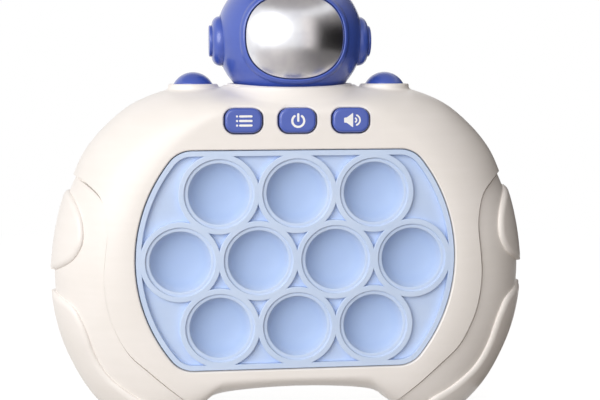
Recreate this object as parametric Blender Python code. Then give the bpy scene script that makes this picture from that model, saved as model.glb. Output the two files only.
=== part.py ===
"""Hand-held electronic bubble pop game with an astronaut helmet on top.

Metres, +Z up. The front faces -Y, and Y = 0 is the parting plane of the two shells.
The origin lies under the middle of the game, on the plane that its two soles stand on.
"""
import math

import bmesh
import bpy
import numpy as np
from mathutils import Matrix, Vector

# General fits
GAP = 0.0003
OVERRUN = 0.002
WALL = 0.002

# Bubbles and their web
BUBBLE_PITCH = 0.025
BUBBLE_RADIUS = 0.01085
BUBBLE_TRAVEL = 0.003
DISH_RADIUS = 0.0098
DISH_DEPTH = 0.0045
DISH_WALL = 0.0012
DISH_POWER_share = 3.0
DISH_BACK_share = 0.85
SHELF_DROP = 0.0006
SHELF_THICKNESS = 0.0014
PLUNGER_RADIUS = 0.003
PLUNGER_LENGTH = 0.0022
WEB_RING_WIDTH = 0.0018
WEB_POCKET_DEPTH = 0.0012
WEB_THICKNESS = 0.0037
RIM_WIDTH = 0.0017
PANEL_SIDE_MARGIN = 0.00115
PANEL_END_MARGIN = 0.0008
PANEL_CORNER = 0.009
FLANGE_WIDTH = 0.002
FLANGE_THICKNESS = 0.001
FRAME_THICKNESS = 0.002
EAR_RADIUS = 0.0028
STAKE_RADIUS = 0.0011
STAKE_ANGLE = math.radians(11)

# Body shells, measured out from the panel
SIDE_WIDTH = 0.0281
BROW_HEIGHT = 0.0198
GRIP_DROP = 0.0206
CHIN_HEIGHT = 0.0082
PANEL_DEPTH = 0.022
PLATE_PROUD = 0.0006
REAR_DEPTH = 0.0235
PLATE_STEP = 0.001
PAD_RISE = 0.0014
PAD_BEAD = 0.0025
EDGE_POWER_share = 1.85
FLAT_MARGIN = 0.0013
FLAT_TOP_MARGIN = 0.0116
FLAT_BOTTOM_MARGIN = 0.0028
FLAT_CORNER = 0.012

# Face keys
KEY_WIDTH = 0.0123
KEY_HEIGHT = 0.0087
KEY_CORNER = 0.0035
KEY_PROUD = 0.0009
KEY_PITCH = 0.0174
KEY_RISE = 0.0095
KEY_GAP = 0.00035
KEY_TRAVEL = 0.0008
KEY_FLANGE_WIDTH = 0.001
KEY_FLANGE_THICKNESS = 0.0012
KEY_STEM_RADIUS = 0.002
KEY_EDGE = 0.0008

# Shoulder buttons on the top edge
SHOULDER_OFFSET = 0.0322
SHOULDER_RADIUS = 0.00645
SHOULDER_HEIGHT = 0.0039
SHOULDER_TRAVEL = 0.002
SHOULDER_FLANGE_WIDTH = 0.0013
SHOULDER_FLANGE_THICKNESS = 0.0014
SHOULDER_STEM_RADIUS = 0.0022
SHOULDER_STEM_LENGTH = 0.0034
COLLAR_RADIUS = 0.00825
COLLAR_RISE = 0.0012
COLLAR_EDGE = 0.0004

# Switches and circuit board
SWITCH_SIDE = 0.0045
SWITCH_BODY = 0.0013
SWITCH_HEIGHT = 0.002
SWITCH_TIP_RADIUS = 0.0013
BOARD_THICKNESS = 0.0016
BOARD_MARGIN = 0.0096
BOARD_END_MARGIN = 0.0024
BOARD_BROW_WIDTH = 0.027
BOARD_BROW_RISE = 0.0141
STANDOFF_RADIUS = 0.0024
LAMP_SIDE = 0.003
LAMP_HEIGHT = 0.001
LAMP_OFFSET = 0.0055
CHIP_SIDE = 0.009
CHIP_HEIGHT = 0.0016

# Batteries, their bay and its door
CELL_RADIUS = 0.00715
CELL_LENGTH = 0.0492
CELL_PITCH = 0.0152
CELL_NUB_RADIUS = 0.0027
CELL_NUB_LENGTH = 0.0013
CONTACT_THICKNESS = 0.0005
CONTACT_WIDTH = 0.011
SPRING_LENGTH = 0.0053
SPRING_BASE_RADIUS = 0.0042
SPRING_TIP_RADIUS = 0.0024
BAY_CLEARANCE = 0.0008
BAY_WALL = 0.0018
BAY_DROP = 0.011
DOOR_THICKNESS = 0.0022
DOOR_SCREW_FLOOR = 0.0006
DOOR_BOSS_RADIUS = 0.0034
DOOR_RIB_HALF_LENGTH = 0.02
DOOR_RIB_HEIGHT = 0.0022
DOOR_RIB_WIDTH = 0.0016
DOOR_LEDGE = 0.0014
DOOR_TAB_WIDTH = 0.012
DOOR_TAB_HEIGHT = 0.0062

# Screws
SCREW_HEAD_RADIUS = 0.0026
SCREW_HEAD_HEIGHT = 0.0012
SCREW_RADIUS = 0.0012
SCREW_LENGTH = 0.012
SCREW_SLOT_WIDTH = 0.0006
SCREW_SLOT_DEPTH = 0.0007
SCREW_SLOT_REACH = 0.00145
SCREW_CROWN_RADIUS = 0.0021
BOSS_RADIUS = 0.0044
POST_RADIUS = 0.0032
SEAT_DEPTH = 0.004
UPPER_SCREW_X = 0.0585
UPPER_SCREW_Z = 0.0245
LOWER_SCREW_X = 0.054
LOWER_SCREW_Z = 0.038
DOOR_SCREW_LENGTH = 0.007

# Speaker behind its grille
SPEAKER_RADIUS = 0.0125
SPEAKER_LIP = 0.0018
SPEAKER_DEPTH = 0.0065
MAGNET_RADIUS = 0.0075
SPEAKER_RISE = 0.0335
CONE_RADIUS = 0.0106
CONE_DEPTH = 0.0028
CONE_CORE_RADIUS = 0.0042
CONE_CAP_RADIUS = 0.0032
SPEAKER_RIB = 0.0012
SLOT_WIDTH = 0.0014
SLOT_PITCH = 0.003
SLOT_COUNT = 7

# Leads from the speaker and the battery contacts to the circuit board
LEAD_RADIUS = 0.0006
LEAD_ANGLE = math.radians(-60)
LEAD_STEPS = 10
SPEAKER_LEAD_X = 0.009
SPEAKER_LEAD_RISE = 0.018
BATTERY_LEAD_SHIFT = 0.005

# Helmet on the neck
HELMET_HALF_WIDTH = 0.0245
HELMET_HALF_DEPTH = 0.022
HELMET_HALF_HEIGHT = 0.023
HELMET_SEAT = 0.0169
HELMET_RISE = 0.0163
HELMET_WALL = 0.002
VISOR_HALF_WIDTH = 0.016
VISOR_HALF_HEIGHT = 0.0136
VISOR_POWER_share = 2.35
VISOR_THICKNESS = 0.0014
VISOR_BULGE = 0.0005
BEZEL_WIDTH = 0.0018
BEZEL_RISE = 0.0006
STUB_RADIUS = 0.009
STUB_BORE_RADIUS = 0.007
STUB_FLANGE_WIDTH = 0.0018
STUB_FLANGE_THICKNESS = 0.0014
POD_RADIUS = 0.0082
POD_PROUD = 0.0016
POD_SEAT_DEPTH = 0.0027
POD_BOSS_RADIUS = 0.0052
POD_BOSS_LENGTH = 0.0018
POD_CAP_RADIUS = 0.005
POD_CAP_RISE = 0.0012
POD_EDGE = 0.0012
POD_DROP = 0.001
NECK_SIDE_ROOM = 0.00224
NECK_FRONT_ROOM = 0.00184
NECK_RISE = 0.0014
NECK_FLARE = 0.0016
NECK_FOOT = 0.0055
SEAT_CLEARANCE = 0.0008

# Facets of the round shapes
BODY_COLUMNS = 64
PANEL_COLUMNS = 48
CIRCLE_SIDES = 24
BUBBLE_SIDES = 18
ROUND_SIDES = 18
CELL_SIDES = 14
LEAD_RESOLUTION = 2
SMALL_SIDES = 10
HELMET_COLUMNS = 30
SEAT_STATIONS = 5
HELMET_ROOM_STATIONS = 8
CURVE_STEPS = 16
CORNER_STEPS = 3
SLOT_END_STEPS = 2
SMOOTH_ANGLE = math.radians(35)

# Outline of the shells at the parting plane, right half, from the top round to the arch
TOP_shares = [(0.0, 1.0), (0.25, 1.0), (0.45, 0.995), (0.54, 0.976), (0.666, 0.897),
              (0.778, 0.763), (0.857, 0.623), (0.905, 0.48), (0.949, 0.325), (0.98, 0.144)]
GRIP_shares = [(0.9975, -0.036), (1.0, -0.16), (0.99, -0.321), (0.964, -0.482),
               (0.922, -0.634), (0.86, -0.795), (0.784, -0.925), (0.684, -1.035),
               (0.577, -1.075), (0.47, -1.01), (0.389, -0.915)]
ARCH_shares = [(0.276, -1.069), (0.138, -1.016), (0.0, -1.0)]

# Edge of the raised front plate, right half, as shares of the same sizes
CREASE_TOP_shares = [(0.905, 0.49), (0.853, 0.462), (0.784, 0.38), (0.758, 0.272),
                     (0.753, 0.163), (0.764, 0.018)]
CREASE_GRIP_shares = [(0.77, -0.107), (0.76, -0.25), (0.735, -0.375), (0.678, -0.527),
                      (0.597, -0.636), (0.521, -0.732), (0.452, -0.815), (0.405, -0.875)]

# Inner edges of the raised grip pads, right half, as (height share, width share)
UPPER_PAD_shares = [(0.41, 0.94), (0.36, 0.905), (0.27, 0.872), (0.18, 0.86), (0.09, 0.868),
                    (0.0, 0.91), (-0.075, 0.99)]
LOWER_PAD_shares = [(-0.21, 0.995), (-0.27, 0.91), (-0.36, 0.871), (-0.45, 0.847),
                    (-0.54, 0.827), (-0.63, 0.795), (-0.71, 0.748), (-0.8, 0.66),
                    (-0.87, 0.57), (-0.98, 0.5)]

# Fractions of the rounded edge at which the shells have a ring of points
INNER_STATION_shares = [0.0, 0.55, 0.97]
OUTER_STATION_shares = [0.04, 0.33, 0.62, 0.86, 1.0]
CAVITY_STATION_shares = [0.0, 0.45, 0.75, 0.93, 1.0]
PLAIN_CREASE_share = 0.4
CREASE_LIMIT_share = 0.9
HELMET_STATION_shares = [0.0, 0.3, 0.55, 0.77, 0.93, 1.0]
DISH_STATION_shares = [0.0, 0.55, 0.88, 1.0]
DOME_STATION_shares = [0.0, 0.35, 0.7, 1.0]
VISOR_STATION_shares = [0.3, 0.62, 0.87, 1.0]
VISOR_BACK_share = 0.55

# Sizes worked out from the driving ones
BUBBLES_IN_ROW = (3, 4, 3)
ROW_PITCH = BUBBLE_PITCH * math.sin(math.pi / 3)
HOLE_RADIUS = BUBBLE_RADIUS + GAP
WEB_DISC_RADIUS = HOLE_RADIUS + WEB_RING_WIDTH
PANEL_RADIUS = (max(BUBBLES_IN_ROW) - 1) / 2 * BUBBLE_PITCH + WEB_DISC_RADIUS + PANEL_SIDE_MARGIN
PANEL_HALF_HEIGHT = ROW_PITCH + WEB_DISC_RADIUS + PANEL_END_MARGIN
HALF_WIDTH = PANEL_RADIUS + SIDE_WIDTH
TOP_RISE = PANEL_HALF_HEIGHT + BROW_HEIGHT
CENTRE_Z = PANEL_HALF_HEIGHT + GRIP_DROP
ARCH_DROP = PANEL_HALF_HEIGHT + CHIN_HEIGHT
FRONT_DEPTH = PANEL_DEPTH + PLATE_PROUD
SHELL_WALL = WALL + PLATE_STEP
PLATE_BACK = -FRONT_DEPTH + SHELL_WALL
WEB_BACK = -PANEL_DEPTH + WEB_THICKNESS
FRAME_FRONT = WEB_BACK + GAP
FRAME_BACK = FRAME_FRONT + FRAME_THICKNESS
SHELF_FRONT = -PANEL_DEPTH + SHELF_DROP
DISH_BACK = SHELF_FRONT + DISH_DEPTH + DISH_WALL
PLUNGER_TIP = DISH_BACK + PLUNGER_LENGTH
SWITCH_TIP = PLUNGER_TIP + BUBBLE_TRAVEL + GAP
SWITCH_BASE = SWITCH_TIP + SWITCH_HEIGHT
BOARD_FRONT = SWITCH_BASE + GAP
BOARD_BACK = BOARD_FRONT + BOARD_THICKNESS
KEY_Z = CENTRE_Z + PANEL_HALF_HEIGHT + KEY_RISE
KEY_FACE = -FRONT_DEPTH - KEY_PROUD
KEY_ROOM_FRONT = PLATE_BACK + GAP
KEY_FLANGE_FRONT = KEY_ROOM_FRONT + GAP
TOP_Z = CENTRE_Z + TOP_RISE
CEILING_Z = TOP_Z - SHELL_WALL
COLLAR_Z = TOP_Z + COLLAR_RISE
ROOM_TOP_Z = CEILING_Z - GAP
FLANGE_TOP_Z = ROOM_TOP_Z - GAP
SHOULDER_TIP_Z = FLANGE_TOP_Z - SHOULDER_FLANGE_THICKNESS - SHOULDER_STEM_LENGTH
SHOULDER_SWITCH_Z = SHOULDER_TIP_Z - SHOULDER_TRAVEL - GAP - SWITCH_HEIGHT
SHOULDER_SHELF_Z = SHOULDER_SWITCH_Z - GAP
BAY_HALF_WIDTH = (CELL_LENGTH + CELL_NUB_LENGTH + SPRING_LENGTH) / 2 + CONTACT_THICKNESS + 2 * GAP
BAY_HALF_HEIGHT = CELL_PITCH + CELL_RADIUS + BAY_CLEARANCE
BAY_Z = CENTRE_Z - BAY_DROP
DOOR_FRONT = REAR_DEPTH - DOOR_THICKNESS
BAY_FLOOR = DOOR_FRONT - BAY_CLEARANCE - 2 * CELL_RADIUS - GAP
CELL_Y = BAY_FLOOR + GAP + CELL_RADIUS
DOOR_HALF_WIDTH = BAY_HALF_WIDTH + DOOR_LEDGE
DOOR_HALF_HEIGHT = BAY_HALF_HEIGHT + DOOR_LEDGE
DOOR_SCREW_Z = BAY_Z + DOOR_HALF_HEIGHT + DOOR_TAB_HEIGHT / 2
SPEAKER_Z = CENTRE_Z + SPEAKER_RISE
SPEAKER_FACE = REAR_DEPTH - SHELL_WALL - GAP
HELMET_Z = TOP_Z + HELMET_RISE
HELMET_FOOT_Z = HELMET_Z - HELMET_SEAT
NECK_GIRTH_share = math.sqrt(1 - ((HELMET_RISE - NECK_RISE) / HELMET_HALF_HEIGHT) ** 2)
NECK_HALF_WIDTH = HELMET_HALF_WIDTH * NECK_GIRTH_share + NECK_SIDE_ROOM
NECK_HALF_DEPTH = HELMET_HALF_DEPTH * NECK_GIRTH_share + NECK_FRONT_ROOM
POD_REACH = HELMET_HALF_WIDTH + POD_PROUD
POD_SEAT = HELMET_HALF_WIDTH - POD_SEAT_DEPTH
LEAD_ROOM = LEAD_RADIUS + GAP
BATTERY_LEAD_X = BAY_HALF_WIDTH - GAP - LEAD_ROOM


def clear_scene():
    for item in list(bpy.data.objects):
        bpy.data.objects.remove(item, do_unlink=True)


def material(name, colour, roughness, metallic=0.0):
    made = bpy.data.materials.new(name)
    made.use_nodes = True
    shader = made.node_tree.nodes["Principled BSDF"]
    shader.inputs["Base Color"].default_value = (*colour, 1.0)
    shader.inputs["Roughness"].default_value = roughness
    shader.inputs["Metallic"].default_value = metallic
    return made


def add_object(name, mesh, finish=None, place=(0.0, 0.0, 0.0)):
    made = bpy.data.objects.new(name, mesh)
    made.location = place
    bpy.context.scene.collection.objects.link(made)
    if finish:
        mesh.materials.clear()
        mesh.materials.append(finish)
    return made


def to_mesh(name, bm):
    """Mesh of a bmesh, with its faces turned outwards and its round faces smooth."""
    bmesh.ops.recalc_face_normals(bm, faces=bm.faces)
    mesh = bpy.data.meshes.new(name)
    bm.to_mesh(mesh)
    bm.free()
    mesh.shade_smooth()
    mesh.set_sharp_from_angle(angle=SMOOTH_ANGLE)
    return mesh


def loft(rings):
    """Closed solid through rings of points, with its two ends filled."""
    bm = bmesh.new()
    rows = [[bm.verts.new(point) for point in ring] for ring in rings]
    count = len(rows[0])
    for near, far in zip(rows, rows[1:]):
        for i in range(count):
            j = (i + 1) % count
            bm.faces.new((near[i], near[j], far[j], far[i]))
    bm.faces.new(rows[0])
    bm.faces.new(rows[-1])
    return bm


def prism(outline, front, back):
    """Solid of an outline of (x, z) points, from front to back along Y."""
    return loft([[(x, y, z) for x, z in outline] for y in (front, back)])


def block(low, high):
    (x0, y0, z0), (x1, y1, z1) = low, high
    return prism([(x0, z0), (x1, z0), (x1, z1), (x0, z1)], y0, y1)


def turned(profile, sides, axis="Y"):
    """Solid turned from (radius, along) points; a profile that ends where it starts makes a ring."""
    turn = {"X": Matrix(((0, 0, 1), (1, 0, 0), (0, 1, 0))),
            "Y": Matrix(((1, 0, 0), (0, 0, 1), (0, -1, 0))),
            "Z": Matrix.Identity(3)}[axis]
    bm = bmesh.new()
    closed = profile[0] == profile[-1]
    rows = []
    for radius, along in profile[closed:]:
        count = sides if radius > 0 else 1
        angles = [math.tau * i / sides for i in range(count)]
        spots = [Vector((radius * math.cos(a), radius * math.sin(a), along)) for a in angles]
        rows.append([bm.verts.new(turn @ spot) for spot in spots])
    if closed:
        rows.append(rows[0])
    for near, far in zip(rows, rows[1:]):
        for i in range(sides):
            j = (i + 1) % sides
            corners = [near[i % len(near)], near[j % len(near)], far[j % len(far)], far[i % len(far)]]
            bm.faces.new(list(dict.fromkeys(corners)))
    for row in (rows[0], rows[-1]):
        if len(row) > 1 and not closed:
            bm.faces.new(row)
    return bm


def shifted(bm, offset):
    bmesh.ops.translate(bm, verts=bm.verts, vec=Vector(offset))
    return bm


def joined(parts):
    """One bmesh that holds several, which don't touch."""
    whole = bmesh.new()
    for part in parts:
        mesh = bpy.data.meshes.new("piece")
        part.to_mesh(mesh)
        part.free()
        whole.from_mesh(mesh)
        bpy.data.meshes.remove(mesh)
    return whole


def add_tool(name, bm):
    """Solid that only shapes other objects."""
    tool = add_object(name, to_mesh(name, bm))
    tool.hide_render = True
    tool.display_type = "WIRE"
    return tool


def shape(target, operation, tool):
    change = target.modifiers.new(operation.title(), "BOOLEAN")
    change.operation = operation
    change.object = tool


def cut(target, *parts):
    shape(target, "DIFFERENCE", add_tool(f"{target.name}_cut", joined(parts)))


def fuse(target, *parts):
    shape(target, "UNION", add_tool(f"{target.name}_addition", joined(parts)))


def smooth_curve(points):
    """Points of a curve that passes smoothly through the given ones."""
    points = np.array(points, float)
    ends = [2 * points[0] - points[1], *points, 2 * points[-1] - points[-2]]
    made = []
    for before, start, end, after in zip(ends, ends[1:], ends[2:], ends[3:]):
        for t in np.arange(CURVE_STEPS) / CURVE_STEPS:
            made.append(0.5 * (2 * start + (end - before) * t
                               + (2 * before - 5 * start + 4 * end - after) * t ** 2
                               + (3 * start - before - 3 * end + after) * t ** 3))
    return np.array([*made, points[-1]])


def scaled(shares, width, height):
    return [(x * width, z * height) for x, z in shares]


def rim_half():
    """Right half of the shells' outline, as (x, z) from the panel's centre."""
    points = scaled(TOP_shares, HALF_WIDTH, TOP_RISE)
    points += scaled(GRIP_shares, HALF_WIDTH, CENTRE_Z)
    points += scaled(ARCH_shares, HALF_WIDTH, ARCH_DROP)
    return smooth_curve(points)


def crease_half():
    """Right edge of the raised front plate, from the shoulder down to the arch."""
    points = scaled(CREASE_TOP_shares, HALF_WIDTH, TOP_RISE)
    points += scaled(CREASE_GRIP_shares, HALF_WIDTH, CENTRE_Z)
    return smooth_curve(points)


def rounded_disc(radius, top, bottom, corner, columns):
    """Outline of a disc with a flat top and bottom and rounded corners, as radii at angles."""
    radii = []
    for angle in columns:
        reach = top if math.sin(angle) > 0 else bottom
        across, up = abs(math.cos(angle)), abs(math.sin(angle))
        hub_up = reach - corner
        hub_across = math.sqrt((radius - corner) ** 2 - hub_up ** 2)
        along = hub_across * across + hub_up * up
        away = (hub_across * up - hub_up * across) ** 2
        rounded = along + math.sqrt(max(corner ** 2 - away, 0.0))
        if up * hub_across >= across * hub_up:
            beyond = across * reach < hub_across * up
            radii.append(reach / up if beyond else rounded)
        else:
            radii.append(radius)
    return np.array(radii)


def at_angles(radii, columns, depth=0.0):
    return [(r * math.cos(a), depth, CENTRE_Z + r * math.sin(a)) for r, a in zip(radii, columns)]


def panel_outline(grow):
    """The panel's outline, made larger by grow, as (x, z) points."""
    columns = [math.tau * (i + 0.5) / PANEL_COLUMNS for i in range(PANEL_COLUMNS)]
    radii = rounded_disc(PANEL_RADIUS + grow, PANEL_HALF_HEIGHT + grow, PANEL_HALF_HEIGHT + grow,
                         PANEL_CORNER + grow, columns)
    return [(x, z) for x, y, z in at_angles(radii, columns)]


def body_columns():
    """Angles of the shells' columns of points, evenly spaced along the outline."""
    rim = rim_half()
    run = np.concatenate([[0.0], np.cumsum(np.linalg.norm(np.diff(rim, axis=0), axis=1))])
    wanted = np.linspace(0.0, run[-1], BODY_COLUMNS // 2 + 1)
    right = np.arctan2(np.interp(wanted, run, rim[:, 1]), np.interp(wanted, run, rim[:, 0]))
    left = math.pi - right[1:-1][::-1]
    return np.concatenate([right, left])


def radius_at(curve, columns):
    """Radius of a right-half curve at each angle, mirrored for the left half."""
    angles = np.arctan2(curve[:, 1], curve[:, 0])[::-1]
    radii = np.hypot(curve[:, 0], curve[:, 1])[::-1]
    folded = [math.atan2(math.sin(a), abs(math.cos(a))) for a in columns]
    return np.interp(folded, angles, radii)


def pad_cover(x, z):
    """How far a spot in front view lies on a raised grip pad, from 0 to 1."""
    cover = 0.0
    for shares in (UPPER_PAD_shares, LOWER_PAD_shares):
        heights = [up * (TOP_RISE if up > 0 else CENTRE_Z) for up, across in shares][::-1]
        widths = [across * HALF_WIDTH for up, across in shares][::-1]
        if heights[0] < z < heights[-1]:
            edge = np.interp(z, heights, widths)
            cover = max(cover, min(max((abs(x) - edge) / PAD_BEAD, 0.0), 1.0))
    return cover


def edge_grid(depth, stations, columns):
    """Rings of a shell's rounded edge, from its flat face to the parting plane."""
    flat = rounded_disc(PANEL_RADIUS + FLAT_MARGIN, PANEL_HALF_HEIGHT + FLAT_TOP_MARGIN,
                        PANEL_HALF_HEIGHT + FLAT_BOTTOM_MARGIN, FLAT_CORNER, columns)
    rim = radius_at(rim_half(), columns)
    radii = flat + (rim - flat) * stations
    back = -depth * (1 - stations ** EDGE_POWER_share) ** (1 / EDGE_POWER_share)
    return np.stack([radii * np.cos(columns), back, radii * np.sin(columns)], axis=-1)


def raised(grid, level):
    """The grid moved along its outward normals; its last ring stays on the parting plane."""
    along = np.gradient(grid, axis=0)
    around = np.roll(grid, -1, axis=1) - np.roll(grid, 1, axis=1)
    normal = np.cross(along, around)
    outward = np.sign(np.sum(normal * grid, axis=-1, keepdims=True))
    normal *= outward
    normal[-1, :, 1] = 0.0
    normal[0, :, (0, 2)] = 0.0
    normal /= np.linalg.norm(normal, axis=-1, keepdims=True)
    return grid + normal * level[..., None]


def standing(grid):
    """Grid in world places, with the grips cut level at the soles."""
    placed = grid.copy()
    placed[..., 2] = np.maximum(placed[..., 2] + CENTRE_Z, 0.0)
    return placed


def shell_solid(depth):
    """Outside of one shell: a flat plate, its crease, the valley and the raised pads."""
    columns = body_columns()
    rim = radius_at(rim_half(), columns)
    flat = np.hypot(*edge_grid(depth, np.zeros((1, len(columns))), columns)[0, :, (0, 2)])
    crease = crease_half()
    bearing = np.array([math.atan2(math.sin(a), abs(math.cos(a))) for a in columns])
    lower, upper = np.arctan2(crease[[-1, 0], 1], crease[[-1, 0], 0])
    has_crease = (bearing > lower) & (bearing < upper)
    share = (radius_at(crease, columns) - flat) / (rim - flat)
    share = np.where(has_crease, np.minimum(share, CREASE_LIMIT_share), PLAIN_CREASE_share)
    inner = [share * part for part in INNER_STATION_shares]
    outer = [share + (1 - share) * part for part in OUTER_STATION_shares]
    grid = edge_grid(depth, np.array(inner + outer), columns)
    level = np.zeros(grid.shape[:2])
    for ring in range(len(inner), len(grid)):
        cover = np.array([pad_cover(x, z) for x, y, z in grid[ring]])
        level[ring] = np.where(has_crease, cover * PAD_RISE - PLATE_STEP, 0.0)
    rings = standing(raised(grid, level))
    past = rings[-1].copy()
    past[:, 1] = math.copysign(OVERRUN, depth)
    return loft([*rings, past])


def cavity_solid(depth):
    """Inside of one shell, a wall's thickness behind the valley."""
    columns = body_columns()
    stations = np.array([np.full(len(columns), part) for part in CAVITY_STATION_shares])
    grid = edge_grid(depth, stations, columns)
    rings = raised(grid, np.full(grid.shape[:2], -SHELL_WALL))
    rings[..., 2] = np.maximum(rings[..., 2] + CENTRE_Z, SHELL_WALL)
    past = rings[-1].copy()
    past[:, 1] = math.copysign(2 * OVERRUN, depth)
    return loft([*rings, past])


def half_space(side):
    """Everything on the other side of the parting plane, for one shell."""
    near, far = -side * GAP / 2, side * (PANEL_DEPTH + REAR_DEPTH)
    reach = 2 * (HALF_WIDTH + CENTRE_Z)
    return block((-reach, min(near, far), -reach), (reach, max(near, far), 2 * reach))


def ellipse_ring(half_width, half_depth, z):
    angles = [math.tau * (i + 0.5) / HELMET_COLUMNS for i in range(HELMET_COLUMNS)]
    return [(half_width * math.cos(a), half_depth * math.sin(a), z) for a in angles]


def neck_solid():
    """Flared neck that the helmet stands in."""
    foot = (NECK_HALF_WIDTH + NECK_FLARE, NECK_HALF_DEPTH + NECK_FLARE, TOP_Z - NECK_FOOT)
    lip = (NECK_HALF_WIDTH, NECK_HALF_DEPTH, TOP_Z + NECK_RISE)
    return loft([ellipse_ring(*foot), ellipse_ring(*lip)])


def helmet_seat():
    """Space that the helmet's foot takes up in the neck, with its clearance."""
    rings = []
    for up in np.linspace(-HELMET_SEAT - GAP, NECK_RISE + OVERRUN - HELMET_RISE, SEAT_STATIONS):
        share = math.sqrt(1 - (up / (HELMET_HALF_HEIGHT + SEAT_CLEARANCE)) ** 2)
        rings.append(ellipse_ring((HELMET_HALF_WIDTH + SEAT_CLEARANCE) * share,
                                  (HELMET_HALF_DEPTH + SEAT_CLEARANCE) * share, HELMET_Z + up))
    return loft(rings)


def rod(radius, start, end, x, z, sides=SMALL_SIDES):
    """Round bar along Y."""
    return shifted(turned([(radius, start), (radius, end)], sides), (x, 0.0, z))


def collar(x):
    """Raised ring round a shoulder button."""
    profile = [(COLLAR_RADIUS, CEILING_Z - OVERRUN), (COLLAR_RADIUS, COLLAR_Z - COLLAR_EDGE),
               (COLLAR_RADIUS - COLLAR_EDGE, COLLAR_Z)]
    return shifted(turned(profile, ROUND_SIDES, "Z"), (x, 0.0, 0.0))


def shoulder_room(x):
    """Hole for a shoulder button and the room for its flange and its travel."""
    low = SHOULDER_TIP_Z - SHOULDER_TRAVEL
    wide = SHOULDER_RADIUS + SHOULDER_FLANGE_WIDTH + GAP
    hole = SHOULDER_RADIUS + GAP
    profile = [(wide, low), (wide, ROOM_TOP_Z), (hole, ROOM_TOP_Z), (hole, COLLAR_Z + OVERRUN)]
    return shifted(turned(profile, ROUND_SIDES, "Z"), (x, 0.0, 0.0))


def stub_room():
    """Hole for the helmet's stub and the room for the flange on it."""
    wide, hole = STUB_RADIUS + STUB_FLANGE_WIDTH + GAP, STUB_RADIUS + GAP
    profile = [(wide, FLANGE_TOP_Z - STUB_FLANGE_THICKNESS - OVERRUN), (wide, ROOM_TOP_Z),
               (hole, ROOM_TOP_Z), (hole, HELMET_FOOT_Z + OVERRUN)]
    return turned(profile, ROUND_SIDES, "Z")


def rounded_rectangle(half_width, half_height, corner, z, x=0.0, steps=CORNER_STEPS):
    points = []
    for quarter in range(4):
        hub_x = (half_width - corner) * (1 if quarter in (0, 3) else -1)
        hub_z = (half_height - corner) * (1 if quarter in (0, 1) else -1)
        for step in range(steps + 1):
            angle = math.pi / 2 * (quarter + step / steps)
            points.append((x + hub_x + corner * math.cos(angle), z + hub_z + corner * math.sin(angle)))
    return points


def key_ring(grow, y, x=0.0, z=0.0):
    """Ring of points round a face key, made larger by grow."""
    outline = rounded_rectangle(KEY_WIDTH / 2 + grow, KEY_HEIGHT / 2 + grow, KEY_CORNER + grow, z, x)
    return [(px, y, pz) for px, pz in outline]


def key_room(x):
    """Hole for a face key and the room for its flange and its travel."""
    wide = KEY_FLANGE_WIDTH + GAP
    steps = ((KEY_GAP, KEY_FACE - OVERRUN), (KEY_GAP, KEY_ROOM_FRONT),
             (wide, KEY_ROOM_FRONT), (wide, BOARD_FRONT - WALL))
    return loft([key_ring(grow, y, x, KEY_Z) for grow, y in steps])


def case_screw_places():
    upper = [(side * UPPER_SCREW_X, CENTRE_Z + UPPER_SCREW_Z) for side in (-1, 1)]
    lower = [(side * LOWER_SCREW_X, CENTRE_Z - LOWER_SCREW_Z) for side in (-1, 1)]
    return upper + lower


def stake_places():
    """Pins of the front shell that hold the panel frame."""
    reach = PANEL_RADIUS + FLANGE_WIDTH + STAKE_RADIUS + GAP
    return [(side * reach * math.cos(STAKE_ANGLE), CENTRE_Z + level * reach * math.sin(STAKE_ANGLE))
            for side in (-1, 1) for level in (-1, 1)]


def shoulder_places():
    return [(-SHOULDER_OFFSET, "left"), (SHOULDER_OFFSET, "right")]


def key_places():
    return [(-KEY_PITCH, "menu"), (0.0, "power"), (KEY_PITCH, "sound")]


def bubble_places():
    """Centres of the ten bubbles, row by row from the top left."""
    places = []
    for row, count in enumerate(BUBBLES_IN_ROW):
        z = CENTRE_Z + (1 - row) * ROW_PITCH
        places += [((i - (count - 1) / 2) * BUBBLE_PITCH, z) for i in range(count)]
    return places


def make_front_shell(finish):
    shell = add_object("front_shell", to_mesh("front_shell", shell_solid(FRONT_DEPTH)), finish)
    sides = [x for x, name in shoulder_places()]
    fuse(shell, *[collar(x) for x in sides])
    fuse(shell, neck_solid())
    cavity = add_tool("front_cavity", cavity_solid(FRONT_DEPTH))
    cut(cavity, *[rod(POST_RADIUS, -FRONT_DEPTH, 0.0, x, z) for x, z in case_screw_places()],
        *[rod(STAKE_RADIUS, -FRONT_DEPTH, FRAME_BACK + STAKE_RADIUS, x, z) for x, z in stake_places()])
    shape(shell, "DIFFERENCE", cavity)
    cut(shell, half_space(1))
    bores = [rod(SCREW_RADIUS + GAP, -SCREW_LENGTH + SEAT_DEPTH - GAP, OVERRUN, x, z)
             for x, z in case_screw_places()]
    keys = [key_room(x) for x, name in key_places()]
    opening = prism(panel_outline(GAP), -FRONT_DEPTH - OVERRUN, PLATE_BACK + OVERRUN)
    cut(shell, opening, *keys, *bores, *[shoulder_room(x) for x in sides])
    cut(shell, helmet_seat())
    cut(shell, stub_room())
    return shell


def grille_slots():
    """Slots of the speaker grille, shorter towards the edge."""
    slots = []
    for i in range(SLOT_COUNT):
        rise = (i - (SLOT_COUNT - 1) / 2) * SLOT_PITCH
        half = math.sqrt(CONE_RADIUS ** 2 - rise ** 2) - SLOT_WIDTH / 2
        outline = rounded_rectangle(half, SLOT_WIDTH / 2, SLOT_WIDTH / 2, SPEAKER_Z + rise,
                                    steps=SLOT_END_STEPS)
        slots.append(prism(outline, REAR_DEPTH - SHELL_WALL - OVERRUN, REAR_DEPTH + OVERRUN))
    return slots


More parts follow.
